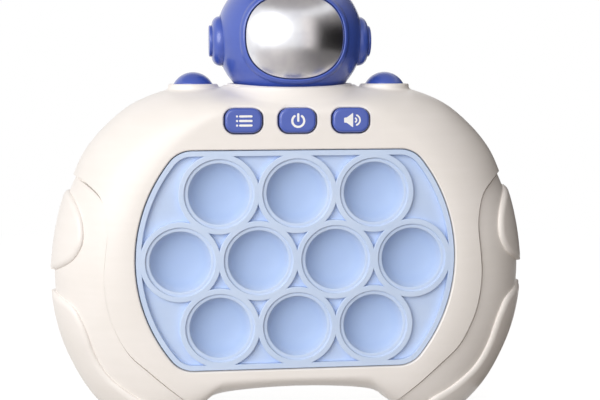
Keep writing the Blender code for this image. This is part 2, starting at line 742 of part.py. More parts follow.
def door_outline(grow):
    """Outline of the battery door and the tab on its top edge that takes the screw."""
    half_width, half_height = DOOR_HALF_WIDTH + grow, DOOR_HALF_HEIGHT + grow
    tab = DOOR_TAB_WIDTH / 2 + grow
    low, high = BAY_Z - half_height, BAY_Z + half_height
    return [(-half_width, low), (half_width, low), (half_width, high), (tab, high),
            (tab, high + DOOR_TAB_HEIGHT), (-tab, high + DOOR_TAB_HEIGHT), (-tab, high),
            (-half_width, high)]


def make_rear_shell(finish):
    shell = add_object("rear_shell", to_mesh("rear_shell", shell_solid(-REAR_DEPTH)), finish)
    sides = [x for x, name in shoulder_places()]
    inside = REAR_DEPTH - SHELL_WALL
    fuse(shell, *[collar(x) for x in sides])
    fuse(shell, neck_solid())
    cavity = add_tool("rear_cavity", cavity_solid(-REAR_DEPTH))
    bay = block((-BAY_HALF_WIDTH - BAY_WALL, BAY_FLOOR - BAY_WALL, BAY_Z - BAY_HALF_HEIGHT - BAY_WALL),
                (BAY_HALF_WIDTH + BAY_WALL, REAR_DEPTH, BAY_Z + BAY_HALF_HEIGHT + BAY_WALL))
    bosses = [rod(BOSS_RADIUS, 0.0, REAR_DEPTH, x, z) for x, z in case_screw_places()]
    bore = SPEAKER_RADIUS + GAP
    rib = turned([(bore, REAR_DEPTH), (bore + SPEAKER_RIB, REAR_DEPTH),
                  (bore + SPEAKER_RIB, inside - SPEAKER_LIP), (bore, inside - SPEAKER_LIP),
                  (bore, REAR_DEPTH)], ROUND_SIDES)
    cut(cavity, bay, *bosses, shifted(rib, (0.0, 0.0, SPEAKER_Z)))
    cut(cavity, rod(DOOR_BOSS_RADIUS, DOOR_FRONT - GAP - DOOR_SCREW_LENGTH - WALL, REAR_DEPTH, 0.0,
                    DOOR_SCREW_Z))
    shape(shell, "DIFFERENCE", cavity)
    cut(shell, half_space(-1))
    fuse(shell, *[block((x - SWITCH_SIDE, -SWITCH_SIDE / 2, SHOULDER_SHELF_Z - WALL),
                        (x + SWITCH_SIDE, inside + WALL / 2, SHOULDER_SHELF_Z)) for x in sides])
    room = block((-BAY_HALF_WIDTH, BAY_FLOOR, BAY_Z - BAY_HALF_HEIGHT),
                 (BAY_HALF_WIDTH, REAR_DEPTH + OVERRUN, BAY_Z + BAY_HALF_HEIGHT))
    heads = [rod(SCREW_HEAD_RADIUS + GAP, SEAT_DEPTH, REAR_DEPTH + OVERRUN, x, z)
             for x, z in case_screw_places()]
    cut(shell, room, *heads, *[shoulder_room(x) for x in sides])
    cut(shell, *[rod(LEAD_ROOM, BAY_FLOOR - BAY_WALL - OVERRUN, BAY_FLOOR + OVERRUN, x, z)
                 for x, z in battery_lead_places()])
    shanks = [rod(SCREW_RADIUS + GAP, -OVERRUN, SEAT_DEPTH + OVERRUN, x, z)
              for x, z in case_screw_places()]
    recess = prism(door_outline(GAP), DOOR_FRONT - GAP, REAR_DEPTH + OVERRUN)
    cut(shell, recess, *shanks, *grille_slots())
    pilot = rod(SCREW_RADIUS + GAP, DOOR_FRONT - 2 * GAP - DOOR_SCREW_LENGTH, REAR_DEPTH, 0.0,
                DOOR_SCREW_Z)
    cut(shell, pilot)
    cut(shell, helmet_seat())
    cut(shell, stub_room())
    return shell


def make_bubble_panel(finish):
    """Silicone web: a flanged sheet with a raised rim and a raised disc round each bubble."""
    floor = -PANEL_DEPTH + WEB_POCKET_DEPTH
    sheet = prism(panel_outline(0.0), -PANEL_DEPTH, WEB_BACK)
    panel = add_object("bubble_panel", to_mesh("bubble_panel", sheet), finish)
    pockets = add_tool("pockets", prism(panel_outline(-RIM_WIDTH), -PANEL_DEPTH - OVERRUN, floor))
    for x, z in bubble_places():
        cut(pockets, rod(WEB_DISC_RADIUS, -PANEL_DEPTH - 2 * OVERRUN, floor + OVERRUN, x, z, CIRCLE_SIDES))
    shape(panel, "DIFFERENCE", pockets)
    fuse(panel, prism(panel_outline(FLANGE_WIDTH), WEB_BACK - FLANGE_THICKNESS, WEB_BACK))
    cut(panel, *[rod(HOLE_RADIUS, -PANEL_DEPTH - OVERRUN, WEB_BACK + OVERRUN, x, z, CIRCLE_SIDES)
                 for x, z in bubble_places()])


def dish_sink(share):
    """Depth of a bubble's dish at a share of its radius."""
    return DISH_DEPTH * math.sqrt(1 - share ** DISH_POWER_share)


def make_bubbles(finish):
    """Ten dished domes, each with a plunger behind it that works its own switch."""
    hollow = [(DISH_RADIUS * share, dish_sink(share)) for share in DISH_STATION_shares]
    back = [(BUBBLE_RADIUS, 0.0), (BUBBLE_RADIUS, SHELF_THICKNESS),
            (DISH_RADIUS * DISH_BACK_share, dish_sink(DISH_BACK_share) + DISH_WALL),
            (PLUNGER_RADIUS, DISH_DEPTH + DISH_WALL),
            (PLUNGER_RADIUS, DISH_DEPTH + DISH_WALL + PLUNGER_LENGTH)]
    mesh = to_mesh("bubble", turned(hollow + back, BUBBLE_SIDES))
    mesh.materials.append(finish)
    for number, (x, z) in enumerate(bubble_places(), 1):
        add_object(f"bubble_{number:02d}", mesh, place=(x, SHELF_FRONT, z))


def make_panel_frame(finish):
    """Rigid frame that clamps the web from behind and carries the circuit board."""
    plate = prism(panel_outline(FLANGE_WIDTH), FRAME_FRONT, FRAME_BACK)
    frame = add_object("panel_frame", to_mesh("panel_frame", plate), finish)
    fuse(frame, *[rod(EAR_RADIUS, FRAME_FRONT, FRAME_BACK, x, z) for x, z in stake_places()])
    pocket = ROW_PITCH / 3
    fuse(frame, *[rod(STANDOFF_RADIUS, FRAME_BACK - WALL / 2, BOARD_FRONT - GAP, x, CENTRE_Z + z)
                  for x in (-BUBBLE_PITCH, BUBBLE_PITCH) for z in (-pocket, pocket)])
    cut(frame, *[rod(HOLE_RADIUS + GAP, FRAME_FRONT - OVERRUN, FRAME_BACK + OVERRUN, x, z)
                 for x, z in bubble_places()])
    cut(frame, *[rod(STAKE_RADIUS + GAP, FRAME_FRONT - OVERRUN, FRAME_BACK + OVERRUN, x, z)
                 for x, z in stake_places()])


def settled(target):
    """Finished mesh of an object, with its modifiers in it, for its copies to share."""
    graph = bpy.context.evaluated_depsgraph_get()
    mesh = bpy.data.meshes.new_from_object(target.evaluated_get(graph))
    target.modifiers.clear()
    target.data = mesh
    return mesh


def square_ring(half, y):
    """Eight points round a square, which a loft can join to a round of eight sides."""
    return [(x * half, y, z * half) for x, z in
            ((1, 0), (1, 1), (0, 1), (-1, 1), (-1, 0), (-1, -1), (0, -1), (1, -1))]


def round_ring(radius, y, sides=8):
    return [(radius * math.cos(math.tau * i / sides), y, radius * math.sin(math.tau * i / sides))
            for i in range(sides)]


def make_switches(finish):
    """Push switches on the circuit board and under the shoulder buttons."""
    half = SWITCH_SIDE / 2
    solid = loft([square_ring(half, 0.0), square_ring(half, -SWITCH_BODY),
                  round_ring(SWITCH_TIP_RADIUS, -SWITCH_BODY), round_ring(SWITCH_TIP_RADIUS, -SWITCH_HEIGHT)])
    mesh = to_mesh("switch", solid)
    mesh.materials.append(finish)
    for number, (x, z) in enumerate(bubble_places(), 1):
        add_object(f"bubble_switch_{number:02d}", mesh, place=(x, SWITCH_BASE, z))
    for x, name in key_places():
        add_object(f"{name}_switch", mesh, place=(x, SWITCH_BASE, KEY_Z))
    for x, name in shoulder_places():
        switch = add_object(f"{name}_shoulder_switch", mesh, place=(x, 0.0, SHOULDER_SWITCH_Z))
        switch.rotation_euler = (-math.pi / 2, 0.0, 0.0)


def make_main_board(board_finish):
    """Circuit board with a lamp beside each bubble switch and the control chip behind."""
    half_width = PANEL_RADIUS - BOARD_MARGIN
    low = CENTRE_Z - PANEL_HALF_HEIGHT + BOARD_END_MARGIN
    high = CENTRE_Z + PANEL_HALF_HEIGHT - BOARD_END_MARGIN
    brow = CENTRE_Z + PANEL_HALF_HEIGHT + BOARD_BROW_RISE
    outline = [(-half_width, low), (half_width, low), (half_width, high), (BOARD_BROW_WIDTH, brow),
               (-BOARD_BROW_WIDTH, brow), (-half_width, high)]
    board = add_object("main_board", to_mesh("main_board", prism(outline, BOARD_FRONT, BOARD_BACK)),
                       board_finish)
    half = LAMP_SIDE / 2
    lamps = [block((x - half, BOARD_FRONT - LAMP_HEIGHT, z - LAMP_OFFSET - half),
                   (x + half, BOARD_FRONT + BOARD_THICKNESS / 2, z - LAMP_OFFSET + half))
             for x, z in bubble_places()]
    chip = block((-CHIP_SIDE / 2, BOARD_FRONT + BOARD_THICKNESS / 2, CENTRE_Z - CHIP_SIDE / 2),
                 (CHIP_SIDE / 2, BOARD_BACK + CHIP_HEIGHT, CENTRE_Z + CHIP_SIDE / 2))
    fuse(board, *lamps, chip)


def make_keys(finish):
    """Menu, power and sound keys of the brow, with a flange that keeps them in."""
    flange = KEY_FLANGE_FRONT - KEY_FACE
    solid = loft([key_ring(-KEY_EDGE, 0.0), key_ring(0.0, KEY_EDGE), key_ring(0.0, flange),
                  key_ring(KEY_FLANGE_WIDTH, flange),
                  key_ring(KEY_FLANGE_WIDTH, flange + KEY_FLANGE_THICKNESS)])
    first = add_object("key", to_mesh("key", solid), finish)
    fuse(first, turned([(KEY_STEM_RADIUS, flange + KEY_FLANGE_THICKNESS / 2),
                        (KEY_STEM_RADIUS, SWITCH_TIP - GAP - KEY_TRAVEL - KEY_FACE)], SMALL_SIDES))
    mesh = settled(first)
    bpy.data.objects.remove(first)
    for x, name in key_places():
        add_object(f"{name}_key", mesh, place=(x, KEY_FACE, KEY_Z))


def make_shoulder_buttons(finish):
    """Domed push buttons on the top edge, held in by a flange under the shells."""
    dome_radius = (SHOULDER_RADIUS ** 2 + SHOULDER_HEIGHT ** 2) / (2 * SHOULDER_HEIGHT)
    spread = math.asin(SHOULDER_RADIUS / dome_radius)
    dome = [(dome_radius * math.sin(spread * share),
             SHOULDER_HEIGHT - dome_radius * (1 - math.cos(spread * share)))
            for share in DOME_STATION_shares]
    top = FLANGE_TOP_Z - COLLAR_Z
    low = top - SHOULDER_FLANGE_THICKNESS
    flange = SHOULDER_RADIUS + SHOULDER_FLANGE_WIDTH
    profile = dome + [(SHOULDER_RADIUS, top), (flange, top), (flange, low), (SHOULDER_STEM_RADIUS, low),
                      (SHOULDER_STEM_RADIUS, low - SHOULDER_STEM_LENGTH)]
    mesh = to_mesh("shoulder_button", turned(profile, ROUND_SIDES, "Z"))
    mesh.materials.append(finish)
    for x, name in shoulder_places():
        add_object(f"{name}_shoulder_button", mesh, place=(x, 0.0, COLLAR_Z))


def make_battery_door(finish):
    plate = prism(door_outline(0.0), DOOR_FRONT, REAR_DEPTH)
    door = add_object("battery_door", to_mesh("battery_door", plate), finish)
    ribs = [block((-DOOR_RIB_HALF_LENGTH, DOOR_FRONT - DOOR_RIB_HEIGHT, z - DOOR_RIB_WIDTH / 2),
                  (DOOR_RIB_HALF_LENGTH, DOOR_FRONT + WALL / 2, z + DOOR_RIB_WIDTH / 2))
            for z in (BAY_Z - CELL_PITCH / 2, BAY_Z + CELL_PITCH / 2)]
    fuse(door, *ribs)
    cut(door, rod(SCREW_RADIUS + GAP, DOOR_FRONT - OVERRUN, REAR_DEPTH, 0.0, DOOR_SCREW_Z))
    cut(door, rod(SCREW_HEAD_RADIUS + GAP, DOOR_FRONT + DOOR_SCREW_FLOOR, REAR_DEPTH + OVERRUN, 0.0,
                  DOOR_SCREW_Z))


def screw_mesh(name, length, finish):
    """Cross-headed screw that points along -Y from under its head."""
    profile = [(SCREW_CROWN_RADIUS, SCREW_HEAD_HEIGHT), (SCREW_HEAD_RADIUS, SCREW_HEAD_HEIGHT / 2),
               (SCREW_HEAD_RADIUS, 0.0), (SCREW_RADIUS, 0.0), (SCREW_RADIUS, SCREW_RADIUS - length),
               (0.0, -length)]
    screw = add_object(name, to_mesh(name, turned(profile, SMALL_SIDES)), finish)
    arm, half = SCREW_SLOT_REACH, SCREW_SLOT_WIDTH / 2
    cross = [(arm, -half), (arm, half), (half, half), (half, arm), (-half, arm), (-half, half),
             (-arm, half), (-arm, -half), (-half, -half), (-half, -arm), (half, -arm), (half, -half)]
    cut(screw, prism(cross, SCREW_HEAD_HEIGHT - SCREW_SLOT_DEPTH, SCREW_HEAD_HEIGHT + OVERRUN))
    mesh = settled(screw)
    bpy.data.objects.remove(screw)
    return mesh


def make_screws(finish):
    case = screw_mesh("case_screw", SCREW_LENGTH, finish)
    for number, (x, z) in enumerate(case_screw_places(), 1):
        add_object(f"case_screw_{number}", case, place=(x, SEAT_DEPTH + GAP, z))
    door = screw_mesh("door_screw", DOOR_SCREW_LENGTH, finish)
    add_object("battery_door_screw", door,
               place=(0.0, DOOR_FRONT + DOOR_SCREW_FLOOR + GAP, DOOR_SCREW_Z))


def make_batteries(cell_finish, contact_finish):
    """Three cells side by side, the middle one turned round, each between its contacts."""
    half = CELL_LENGTH / 2
    cell = to_mesh("cell", turned([(CELL_RADIUS, -half), (CELL_RADIUS, half), (CELL_NUB_RADIUS, half),
                                   (CELL_NUB_RADIUS, half + CELL_NUB_LENGTH)], CELL_SIDES, "X"))
    cell.materials.append(cell_finish)
    wide = CONTACT_WIDTH / 2
    plate = to_mesh("plate", block((0.0, -wide, -wide), (CONTACT_THICKNESS, wide, wide)))
    plate.materials.append(contact_finish)
    first = add_object("spring", plate.copy())
    fuse(first, turned([(SPRING_BASE_RADIUS, CONTACT_THICKNESS / 2),
                        (SPRING_TIP_RADIUS, CONTACT_THICKNESS + SPRING_LENGTH)], SMALL_SIDES, "X"))
    spring = settled(first)
    bpy.data.objects.remove(first)
    wall = BAY_HALF_WIDTH - GAP
    middle = wall - CONTACT_THICKNESS - GAP / 2 - CELL_NUB_LENGTH - half
    for number, turn in ((1, 0.0), (2, math.pi), (3, 0.0)):
        z = BAY_Z + (2 - number) * CELL_PITCH
        side = math.cos(turn)
        for name, mesh, x, facing in (("battery_cell", cell, side * middle, turn),
                                      ("spring_contact", spring, -side * wall, turn),
                                      ("flat_contact", plate, side * wall, turn + math.pi)):
            piece = add_object(f"{name}_{number}", mesh, place=(x, CELL_Y, z))
            piece.rotation_euler = (0.0, 0.0, facing)


def battery_lead_places():
    """Where the two ends of the row of cells take their leads, plus first."""
    return [(BATTERY_LEAD_X, BAY_Z + CELL_PITCH), (-BATTERY_LEAD_X, BAY_Z - CELL_PITCH)]


def make_lead(name, start, straight, end, finish):
    """Wire that leaves its terminal straight along -Y and bends over to its place on the board."""
    turn = Vector(start) - Vector((0.0, straight, 0.0))
    points = [Vector(start)]
    for t in np.linspace(0.0, 1.0, LEAD_STEPS):
        aside = t * t * (3 - 2 * t)
        points.append(Vector((turn.x + (end[0] - turn.x) * aside, turn.y + (end[1] - turn.y) * t,
                              turn.z + (end[2] - turn.z) * aside)))
    curve = bpy.data.curves.new(name, "CURVE")
    curve.dimensions = "3D"
    curve.bevel_depth = LEAD_RADIUS
    curve.bevel_resolution = LEAD_RESOLUTION
    curve.use_fill_caps = True
    curve.materials.append(finish)
    spline = curve.splines.new("POLY")
    spline.points.add(len(points) - 1)
    for spot, point in zip(spline.points, points):
        spot.co = (*point, 1.0)
    add_object(name, curve)


def make_leads(finish):
    landing = BOARD_BACK + GAP
    top = CELL_Y - CONTACT_WIDTH / 2 - GAP
    for name, (x, z) in zip(("battery_lead_plus", "battery_lead_minus"), battery_lead_places()):
        inward = math.copysign(BATTERY_LEAD_SHIFT, x)
        make_lead(name, (x, top, z), top - BAY_FLOOR + BAY_WALL + GAP, (x - inward, landing, z), finish)
    reach = SPEAKER_RADIUS - LEAD_RADIUS
    sink = 2 * LEAD_RADIUS * SPEAKER_LIP / (SPEAKER_RADIUS - MAGNET_RADIUS)
    start = (reach * math.cos(LEAD_ANGLE), SPEAKER_FACE - SPEAKER_LIP - sink - GAP,
             SPEAKER_Z + reach * math.sin(LEAD_ANGLE))
    make_lead("speaker_lead", start, BAY_WALL, (SPEAKER_LEAD_X, landing, CENTRE_Z + SPEAKER_LEAD_RISE),
              finish)


def make_speaker(basket_finish, cone_finish):
    """Small loudspeaker in the ring behind the grille, its magnet towards the front."""
    back = SPEAKER_FACE - SPEAKER_DEPTH
    basket = turned([(SPEAKER_RADIUS, SPEAKER_FACE), (SPEAKER_RADIUS, SPEAKER_FACE - SPEAKER_LIP),
                     (MAGNET_RADIUS, SPEAKER_FACE - 2 * SPEAKER_LIP), (MAGNET_RADIUS, back)], ROUND_SIDES)
    speaker = add_object("speaker", to_mesh("speaker", shifted(basket, (0.0, 0.0, SPEAKER_Z))),
                         basket_finish)
    hollow = turned([(CONE_RADIUS + GAP, SPEAKER_FACE + OVERRUN), (CONE_RADIUS + GAP, SPEAKER_FACE - GAP),
                     (CONE_CORE_RADIUS, SPEAKER_FACE - CONE_DEPTH - GAP)], ROUND_SIDES)
    cut(speaker, shifted(hollow, (0.0, 0.0, SPEAKER_Z)))
    cone = turned([(CONE_RADIUS, SPEAKER_FACE), (CONE_CORE_RADIUS, SPEAKER_FACE + GAP - CONE_DEPTH),
                   (CONE_CAP_RADIUS, SPEAKER_FACE + GAP - CONE_DEPTH / 2),
                   (0.0, SPEAKER_FACE + GAP - CONE_DEPTH / 3)], ROUND_SIDES)
    add_object("speaker_cone", to_mesh("speaker_cone", shifted(cone, (0.0, 0.0, SPEAKER_Z))), cone_finish)


def superellipse(half_width, half_height):
    """Outline of the visor: an ellipse with fuller corners, round the helmet's middle."""
    points = []
    for i in range(HELMET_COLUMNS):
        angle = math.tau * (i + 0.5) / HELMET_COLUMNS
        across, up = math.cos(angle), math.sin(angle)
        points.append((half_width * math.copysign(abs(across) ** (2 / VISOR_POWER_share), across),
                       half_height * math.copysign(abs(up) ** (2 / VISOR_POWER_share), up)))
    return points


def on_helmet(x, z, proud=0.0):
    """Point of the helmet's front at a spot in front view, from the helmet's middle."""
    inside = 1 - (x / HELMET_HALF_WIDTH) ** 2 - (z / HELMET_HALF_HEIGHT) ** 2
    return (x, -HELMET_HALF_DEPTH * math.sqrt(max(inside, 0.0)) - proud, HELMET_Z + z)


def helmet_half(side):
    """Outside of half a helmet; the front half carries the bezel round the visor."""
    opening = superellipse(VISOR_HALF_WIDTH, VISOR_HALF_HEIGHT)
    lip = superellipse(VISOR_HALF_WIDTH + BEZEL_WIDTH, VISOR_HALF_HEIGHT + BEZEL_WIDTH)
    foot = superellipse(VISOR_HALF_WIDTH + BEZEL_WIDTH + BEZEL_RISE,
                        VISOR_HALF_HEIGHT + BEZEL_WIDTH + BEZEL_RISE)
    angles = [math.tau * (i + 0.5) / HELMET_COLUMNS for i in range(HELMET_COLUMNS)]
    rim = [(HELMET_HALF_WIDTH * math.cos(a), HELMET_HALF_HEIGHT * math.sin(a)) for a in angles]
    rise = BEZEL_RISE if side < 0 else 0.0
    rings = [[on_helmet(x / 2, z / 2, 0.0) for x, z in opening],
             [on_helmet(x, z, rise) for x, z in opening], [on_helmet(x, z, rise) for x, z in lip]]
    for share in HELMET_STATION_shares:
        rings.append([on_helmet(x + (u - x) * share, z + (w - z) * share)
                      for (x, z), (u, w) in zip(foot, rim)])
    rings[-1] = [(x, 0.0, z) for x, y, z in rings[-1]]
    rings.append([(x, OVERRUN, z) for x, y, z in rings[-1]])
    return loft([[(x, -side * y, z) for x, y, z in ring] for ring in rings])


def helmet_room():
    """Hollow of the helmet, with a floor over its foot."""
    floor = HELMET_SEAT - HELMET_WALL
    height = HELMET_HALF_HEIGHT - HELMET_WALL
    start = math.asin(-floor / height)
    profile = [((HELMET_HALF_WIDTH - HELMET_WALL) * math.cos(angle), height * math.sin(angle))
               for angle in np.linspace(start, math.pi / 2, HELMET_ROOM_STATIONS)]
    profile[-1] = (0.0, height)
    room = turned(profile, ROUND_SIDES, "Z")
    depth = (HELMET_HALF_DEPTH - HELMET_WALL) / (HELMET_HALF_WIDTH - HELMET_WALL)
    bmesh.ops.scale(room, vec=Vector((1.0, depth, 1.0)), verts=room.verts)
    return shifted(room, (0.0, 0.0, HELMET_Z))


def pod_cutters():
    """Seats and holes for the ear pods in the sides of the helmet."""
    seats, holes = [], []
    place = (0.0, 0.0, HELMET_Z - POD_DROP)
    for side in (-1, 1):
        near, far = side * (POD_SEAT - GAP), side * (HELMET_HALF_WIDTH + OVERRUN)
        seat = [(POD_RADIUS + GAP, near), (POD_RADIUS + GAP, far)]
        hole = [(POD_BOSS_RADIUS + GAP, side * (POD_SEAT - POD_BOSS_LENGTH - 2 * OVERRUN)),
                (POD_BOSS_RADIUS + GAP, far)]
        seats.append(shifted(turned(seat, ROUND_SIDES, "X"), place))
        holes.append(shifted(turned(hole, SMALL_SIDES, "X"), place))
    return seats, holes


def make_helmet(finish):
    """Two hollow helmet halves, each with half of the stub that the shells hold."""
    flange_low = FLANGE_TOP_Z - STUB_FLANGE_THICKNESS
    for name, side in (("helmet_front", -1), ("helmet_rear", 1)):
        half = add_object(name, to_mesh(name, helmet_half(side)), finish)
        reach = 2 * HELMET_HALF_WIDTH
        cut(half, block((-reach, -reach, HELMET_FOOT_Z - reach), (reach, reach, HELMET_FOOT_Z)))
        cut(half, helmet_room())
        stub = [(STUB_RADIUS, HELMET_FOOT_Z + HELMET_WALL / 2), (STUB_RADIUS, FLANGE_TOP_Z),
                (STUB_RADIUS + STUB_FLANGE_WIDTH, FLANGE_TOP_Z),
                (STUB_RADIUS + STUB_FLANGE_WIDTH, flange_low)]
        fuse(half, turned(stub, ROUND_SIDES, "Z"))
        cut(half, half_space(-side))
        cut(half, turned([(STUB_BORE_RADIUS, flange_low - OVERRUN),
                          (STUB_BORE_RADIUS, HELMET_FOOT_Z + 2 * HELMET_WALL)], SMALL_SIDES, "Z"))
        seats, holes = pod_cutters()
        cut(half, *seats)
        cut(half, *holes)
        if side < 0:
            opening = [(x, HELMET_Z + z) for x, z in superellipse(VISOR_HALF_WIDTH, VISOR_HALF_HEIGHT)]
            cut(half, prism(opening, -HELMET_HALF_DEPTH - OVERRUN, -HELMET_HALF_DEPTH / 2))


def make_visor(finish):
    """Curved mirror visor that fills the opening of the helmet."""
    rings = []
    front = [(share, 0.0) for share in VISOR_STATION_shares]
    back = [(1.0, VISOR_THICKNESS), (VISOR_BACK_share, VISOR_THICKNESS)]
    for share, sink in front + back:
        outline = superellipse((VISOR_HALF_WIDTH - GAP) * share, (VISOR_HALF_HEIGHT - GAP) * share)
        proud = VISOR_BULGE * (1 - share ** 2) - sink
        rings.append([on_helmet(x, z, proud) for x, z in outline])
    add_object("visor", to_mesh("visor", loft(rings)), finish)


def make_ear_pods(finish):
    edge = [(POD_RADIUS - POD_EDGE * (1 - math.cos(angle)), POD_REACH - POD_EDGE * (1 - math.sin(angle)))
            for angle in np.linspace(0.0, math.pi / 2, CORNER_STEPS)]
    profile = [(POD_BOSS_RADIUS, POD_SEAT - POD_BOSS_LENGTH), (POD_BOSS_RADIUS, POD_SEAT),
               (POD_RADIUS, POD_SEAT), *edge, (POD_CAP_RADIUS, POD_REACH),
               (POD_CAP_RADIUS, POD_REACH + POD_CAP_RISE)]
    for side, name in ((-1, "left"), (1, "right")):
        solid = turned([(radius, side * along) for radius, along in profile], ROUND_SIDES, "X")
        mesh = to_mesh(f"{name}_ear_pod", solid)
        add_object(f"{name}_ear_pod", mesh, finish, (0.0, 0.0, HELMET_Z - POD_DROP))


def main():
    clear_scene()
    cream = material("cream_plastic", (0.86, 0.83, 0.78), 0.35)
    silicone = material("blue_silicone", (0.55, 0.68, 0.9), 0.5)
    blue = material("royal_blue_plastic", (0.06, 0.1, 0.45), 0.25)
    black = material("black_plastic", (0.05, 0.05, 0.06), 0.5)
    steel = material("zinc_plated_steel", (0.7, 0.7, 0.72), 0.3, 1.0)
    make_front_shell(cream)
    make_rear_shell(cream)
    make_bubble_panel(silicone)
    make_bubbles(silicone)
    make_panel_frame(black)
    make_main_board(material("green_board", (0.03, 0.2, 0.08), 0.45))
    make_switches(black)
    make_keys(blue)
    make_shoulder_buttons(blue)
    make_battery_door(cream)
    make_screws(steel)
    make_batteries(material("cell_jacket", (0.1, 0.1, 0.12), 0.4), steel)
    make_speaker(black, material("paper_cone", (0.08, 0.08, 0.08), 0.9))
    make_leads(material("wire_insulation", (0.05, 0.05, 0.06), 0.6))
    make_helmet(blue)
    make_visor(material("satin_chrome", (0.8, 0.8, 0.82), 0.2, 1.0))
    make_ear_pods(blue)


main()
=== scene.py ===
import math

import bmesh
import bpy
import numpy as np
from mathutils import Matrix, Vector
from mathutils.kdtree import KDTree


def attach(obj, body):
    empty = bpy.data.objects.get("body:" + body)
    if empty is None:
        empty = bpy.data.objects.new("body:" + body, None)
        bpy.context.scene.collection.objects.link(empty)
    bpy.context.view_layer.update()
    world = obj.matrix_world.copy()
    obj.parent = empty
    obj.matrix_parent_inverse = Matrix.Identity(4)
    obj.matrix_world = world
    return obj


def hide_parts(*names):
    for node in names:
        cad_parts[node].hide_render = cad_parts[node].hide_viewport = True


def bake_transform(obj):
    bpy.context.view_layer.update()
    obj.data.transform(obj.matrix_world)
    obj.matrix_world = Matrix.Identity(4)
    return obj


# Looks of the hand-held bubble pop game. Lengths are millimetres until a mesh is made.
# Spots of the front view are (x, z) from the middle of the bubble panel.
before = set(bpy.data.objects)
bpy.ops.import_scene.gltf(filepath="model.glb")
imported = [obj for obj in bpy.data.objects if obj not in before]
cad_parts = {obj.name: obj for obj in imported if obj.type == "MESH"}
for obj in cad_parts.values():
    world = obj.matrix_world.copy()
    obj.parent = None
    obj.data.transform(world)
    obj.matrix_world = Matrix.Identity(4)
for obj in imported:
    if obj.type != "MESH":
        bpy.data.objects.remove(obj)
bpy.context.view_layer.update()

MM = 0.001
FRONT, REAR = -1, 1

# Reach of cutters that end outside everything, and how far the others run past what they cut
BEYOND, OVERRUN, CUT_RISE = 200.0, 1.2, 1.5

# Sides of round forms, and the turn at which a rounded lip ends, short of level
BUBBLE_SIDES, BUTTON_SIDES, SEAT_SIDES, STUB_SIDES, ROD_SIDES = 144, 120, 96, 64, 48
LIP_TURN, LIP_STEPS = 82, 4

# Panel, web and bubbles
GAP = 0.3
BUBBLE_PITCH = 25.0
ROW_PITCH = BUBBLE_PITCH * math.sin(math.pi / 3)
ROW_COUNTS = (3, 4, 3)
BUBBLE_RADIUS = 10.85
HOLE_RADIUS = BUBBLE_RADIUS + GAP
DISC_RADIUS = HOLE_RADIUS + 1.8
DISH_RADIUS, DISH_DEPTH, DISH_POWER = 9.75, 5.1, 2.4
PANEL_RADIUS = 1.5 * BUBBLE_PITCH + DISC_RADIUS + 1.15
PANEL_HALF_HEIGHT = ROW_PITCH + DISC_RADIUS + 0.8
PANEL_CORNER = 9.0
WEB_TOP, WEB_BACK, POCKET_FLOOR = -22.0, -18.3, -20.1
WEB_EDGE, WEB_LIP, WEB_FILLET = 0.28, 0.16, 0.1
RIM_WIDTH, FLANGE_WIDTH, FLANGE_THICKNESS = 1.7, 2.0, 1.0
SHELF_TOP, SHELF_EDGE, SHELF_SIDE = -21.25, 0.3, 1.4
DISH_LIP_shares = [(-0.02, 0.6), (0.03, 0.3), (0.12, 0.1), (0.28, 0.0)]
PLUNGER = [(8.33, 3.9), (3.0, 5.7), (3.0, 7.9), (0.0, 7.9)]
SKIRT_STRETCH, SKIRT_shares = (-21.3, -21.2), (0.15, 0.3, 0.5, 0.7, 0.85)
SKIRT_ROOT, SKIRT_OUTER_THICKNESS, SKIRT_INNER = 0.15, 0.2, (0.01, 0.25)
DISH_ROWS = 34
POCKET_OVERCUT, HOLE_OVERCUT = 0.5, 1.0

# Casing
HALF_WIDTH = PANEL_RADIUS + 28.1
TOP_RISE = PANEL_HALF_HEIGHT + 19.8
CENTRE_Z = PANEL_HALF_HEIGHT + 20.6
ARCH_DROP = PANEL_HALF_HEIGHT + 9.7
TOP_Z = CENTRE_Z + TOP_RISE
DEPTHS = {FRONT: -22.6, REAR: 23.5}
EDGE_POWER = 1.85
FLAT_MARGIN, FLAT_TOP_MARGIN, FLAT_BOTTOM_MARGIN, FLAT_CORNER = 1.3, 11.6, 2.8, 12.0
PLATE_STEP, PAD_RISE, WALL = 1.0, 1.4, 3.0
CREASE_END_SHARE = 0.985
SLOPE_STEP = 0.05

# Outline at the parting plane and edge of the raised plate, right half, as shares of the sizes
TOP_shares = [(0.0, 1.0), (0.25, 1.0), (0.45, 0.995), (0.54, 0.976), (0.666, 0.897),
              (0.778, 0.763), (0.857, 0.623), (0.905, 0.48), (0.949, 0.325), (0.98, 0.144)]
GRIP_shares = [(0.9975, -0.036), (1.0, -0.16), (0.99, -0.321), (0.964, -0.482),
               (0.922, -0.634), (0.86, -0.795), (0.784, -0.925), (0.684, -1.035),
               (0.577, -1.075), (0.475, -1.01), (0.412, -0.925)]
ARCH_shares = [(0.36, -1.07), (0.276, -1.032), (0.138, -1.009), (0.0, -1.0)]
CREASE_TOP_shares = [(0.905, 0.49), (0.853, 0.462), (0.784, 0.38), (0.758, 0.272),
                     (0.753, 0.163), (0.764, 0.018)]
CREASE_GRIP_shares = [(0.77, -0.107), (0.76, -0.25), (0.735, -0.375), (0.678, -0.527),
                      (0.597, -0.636), (0.521, -0.732), (0.454, -0.815), (0.414, -0.872),
                      (0.399, -0.896), (0.388, -0.915)]

# Inner edges of the grip pads, right half, as (height share, width share)
UPPER_PAD_shares = [(0.41, 0.94), (0.36, 0.905), (0.27, 0.872), (0.18, 0.86), (0.09, 0.868),
                    (0.0, 0.91), (-0.075, 0.99)]
LOWER_PAD_shares = [(-0.21, 0.995), (-0.27, 0.91), (-0.36, 0.871), (-0.45, 0.847),
                    (-0.54, 0.827), (-0.63, 0.795), (-0.71, 0.748), (-0.8, 0.66),
                    (-0.87, 0.57), (-0.98, 0.5)]


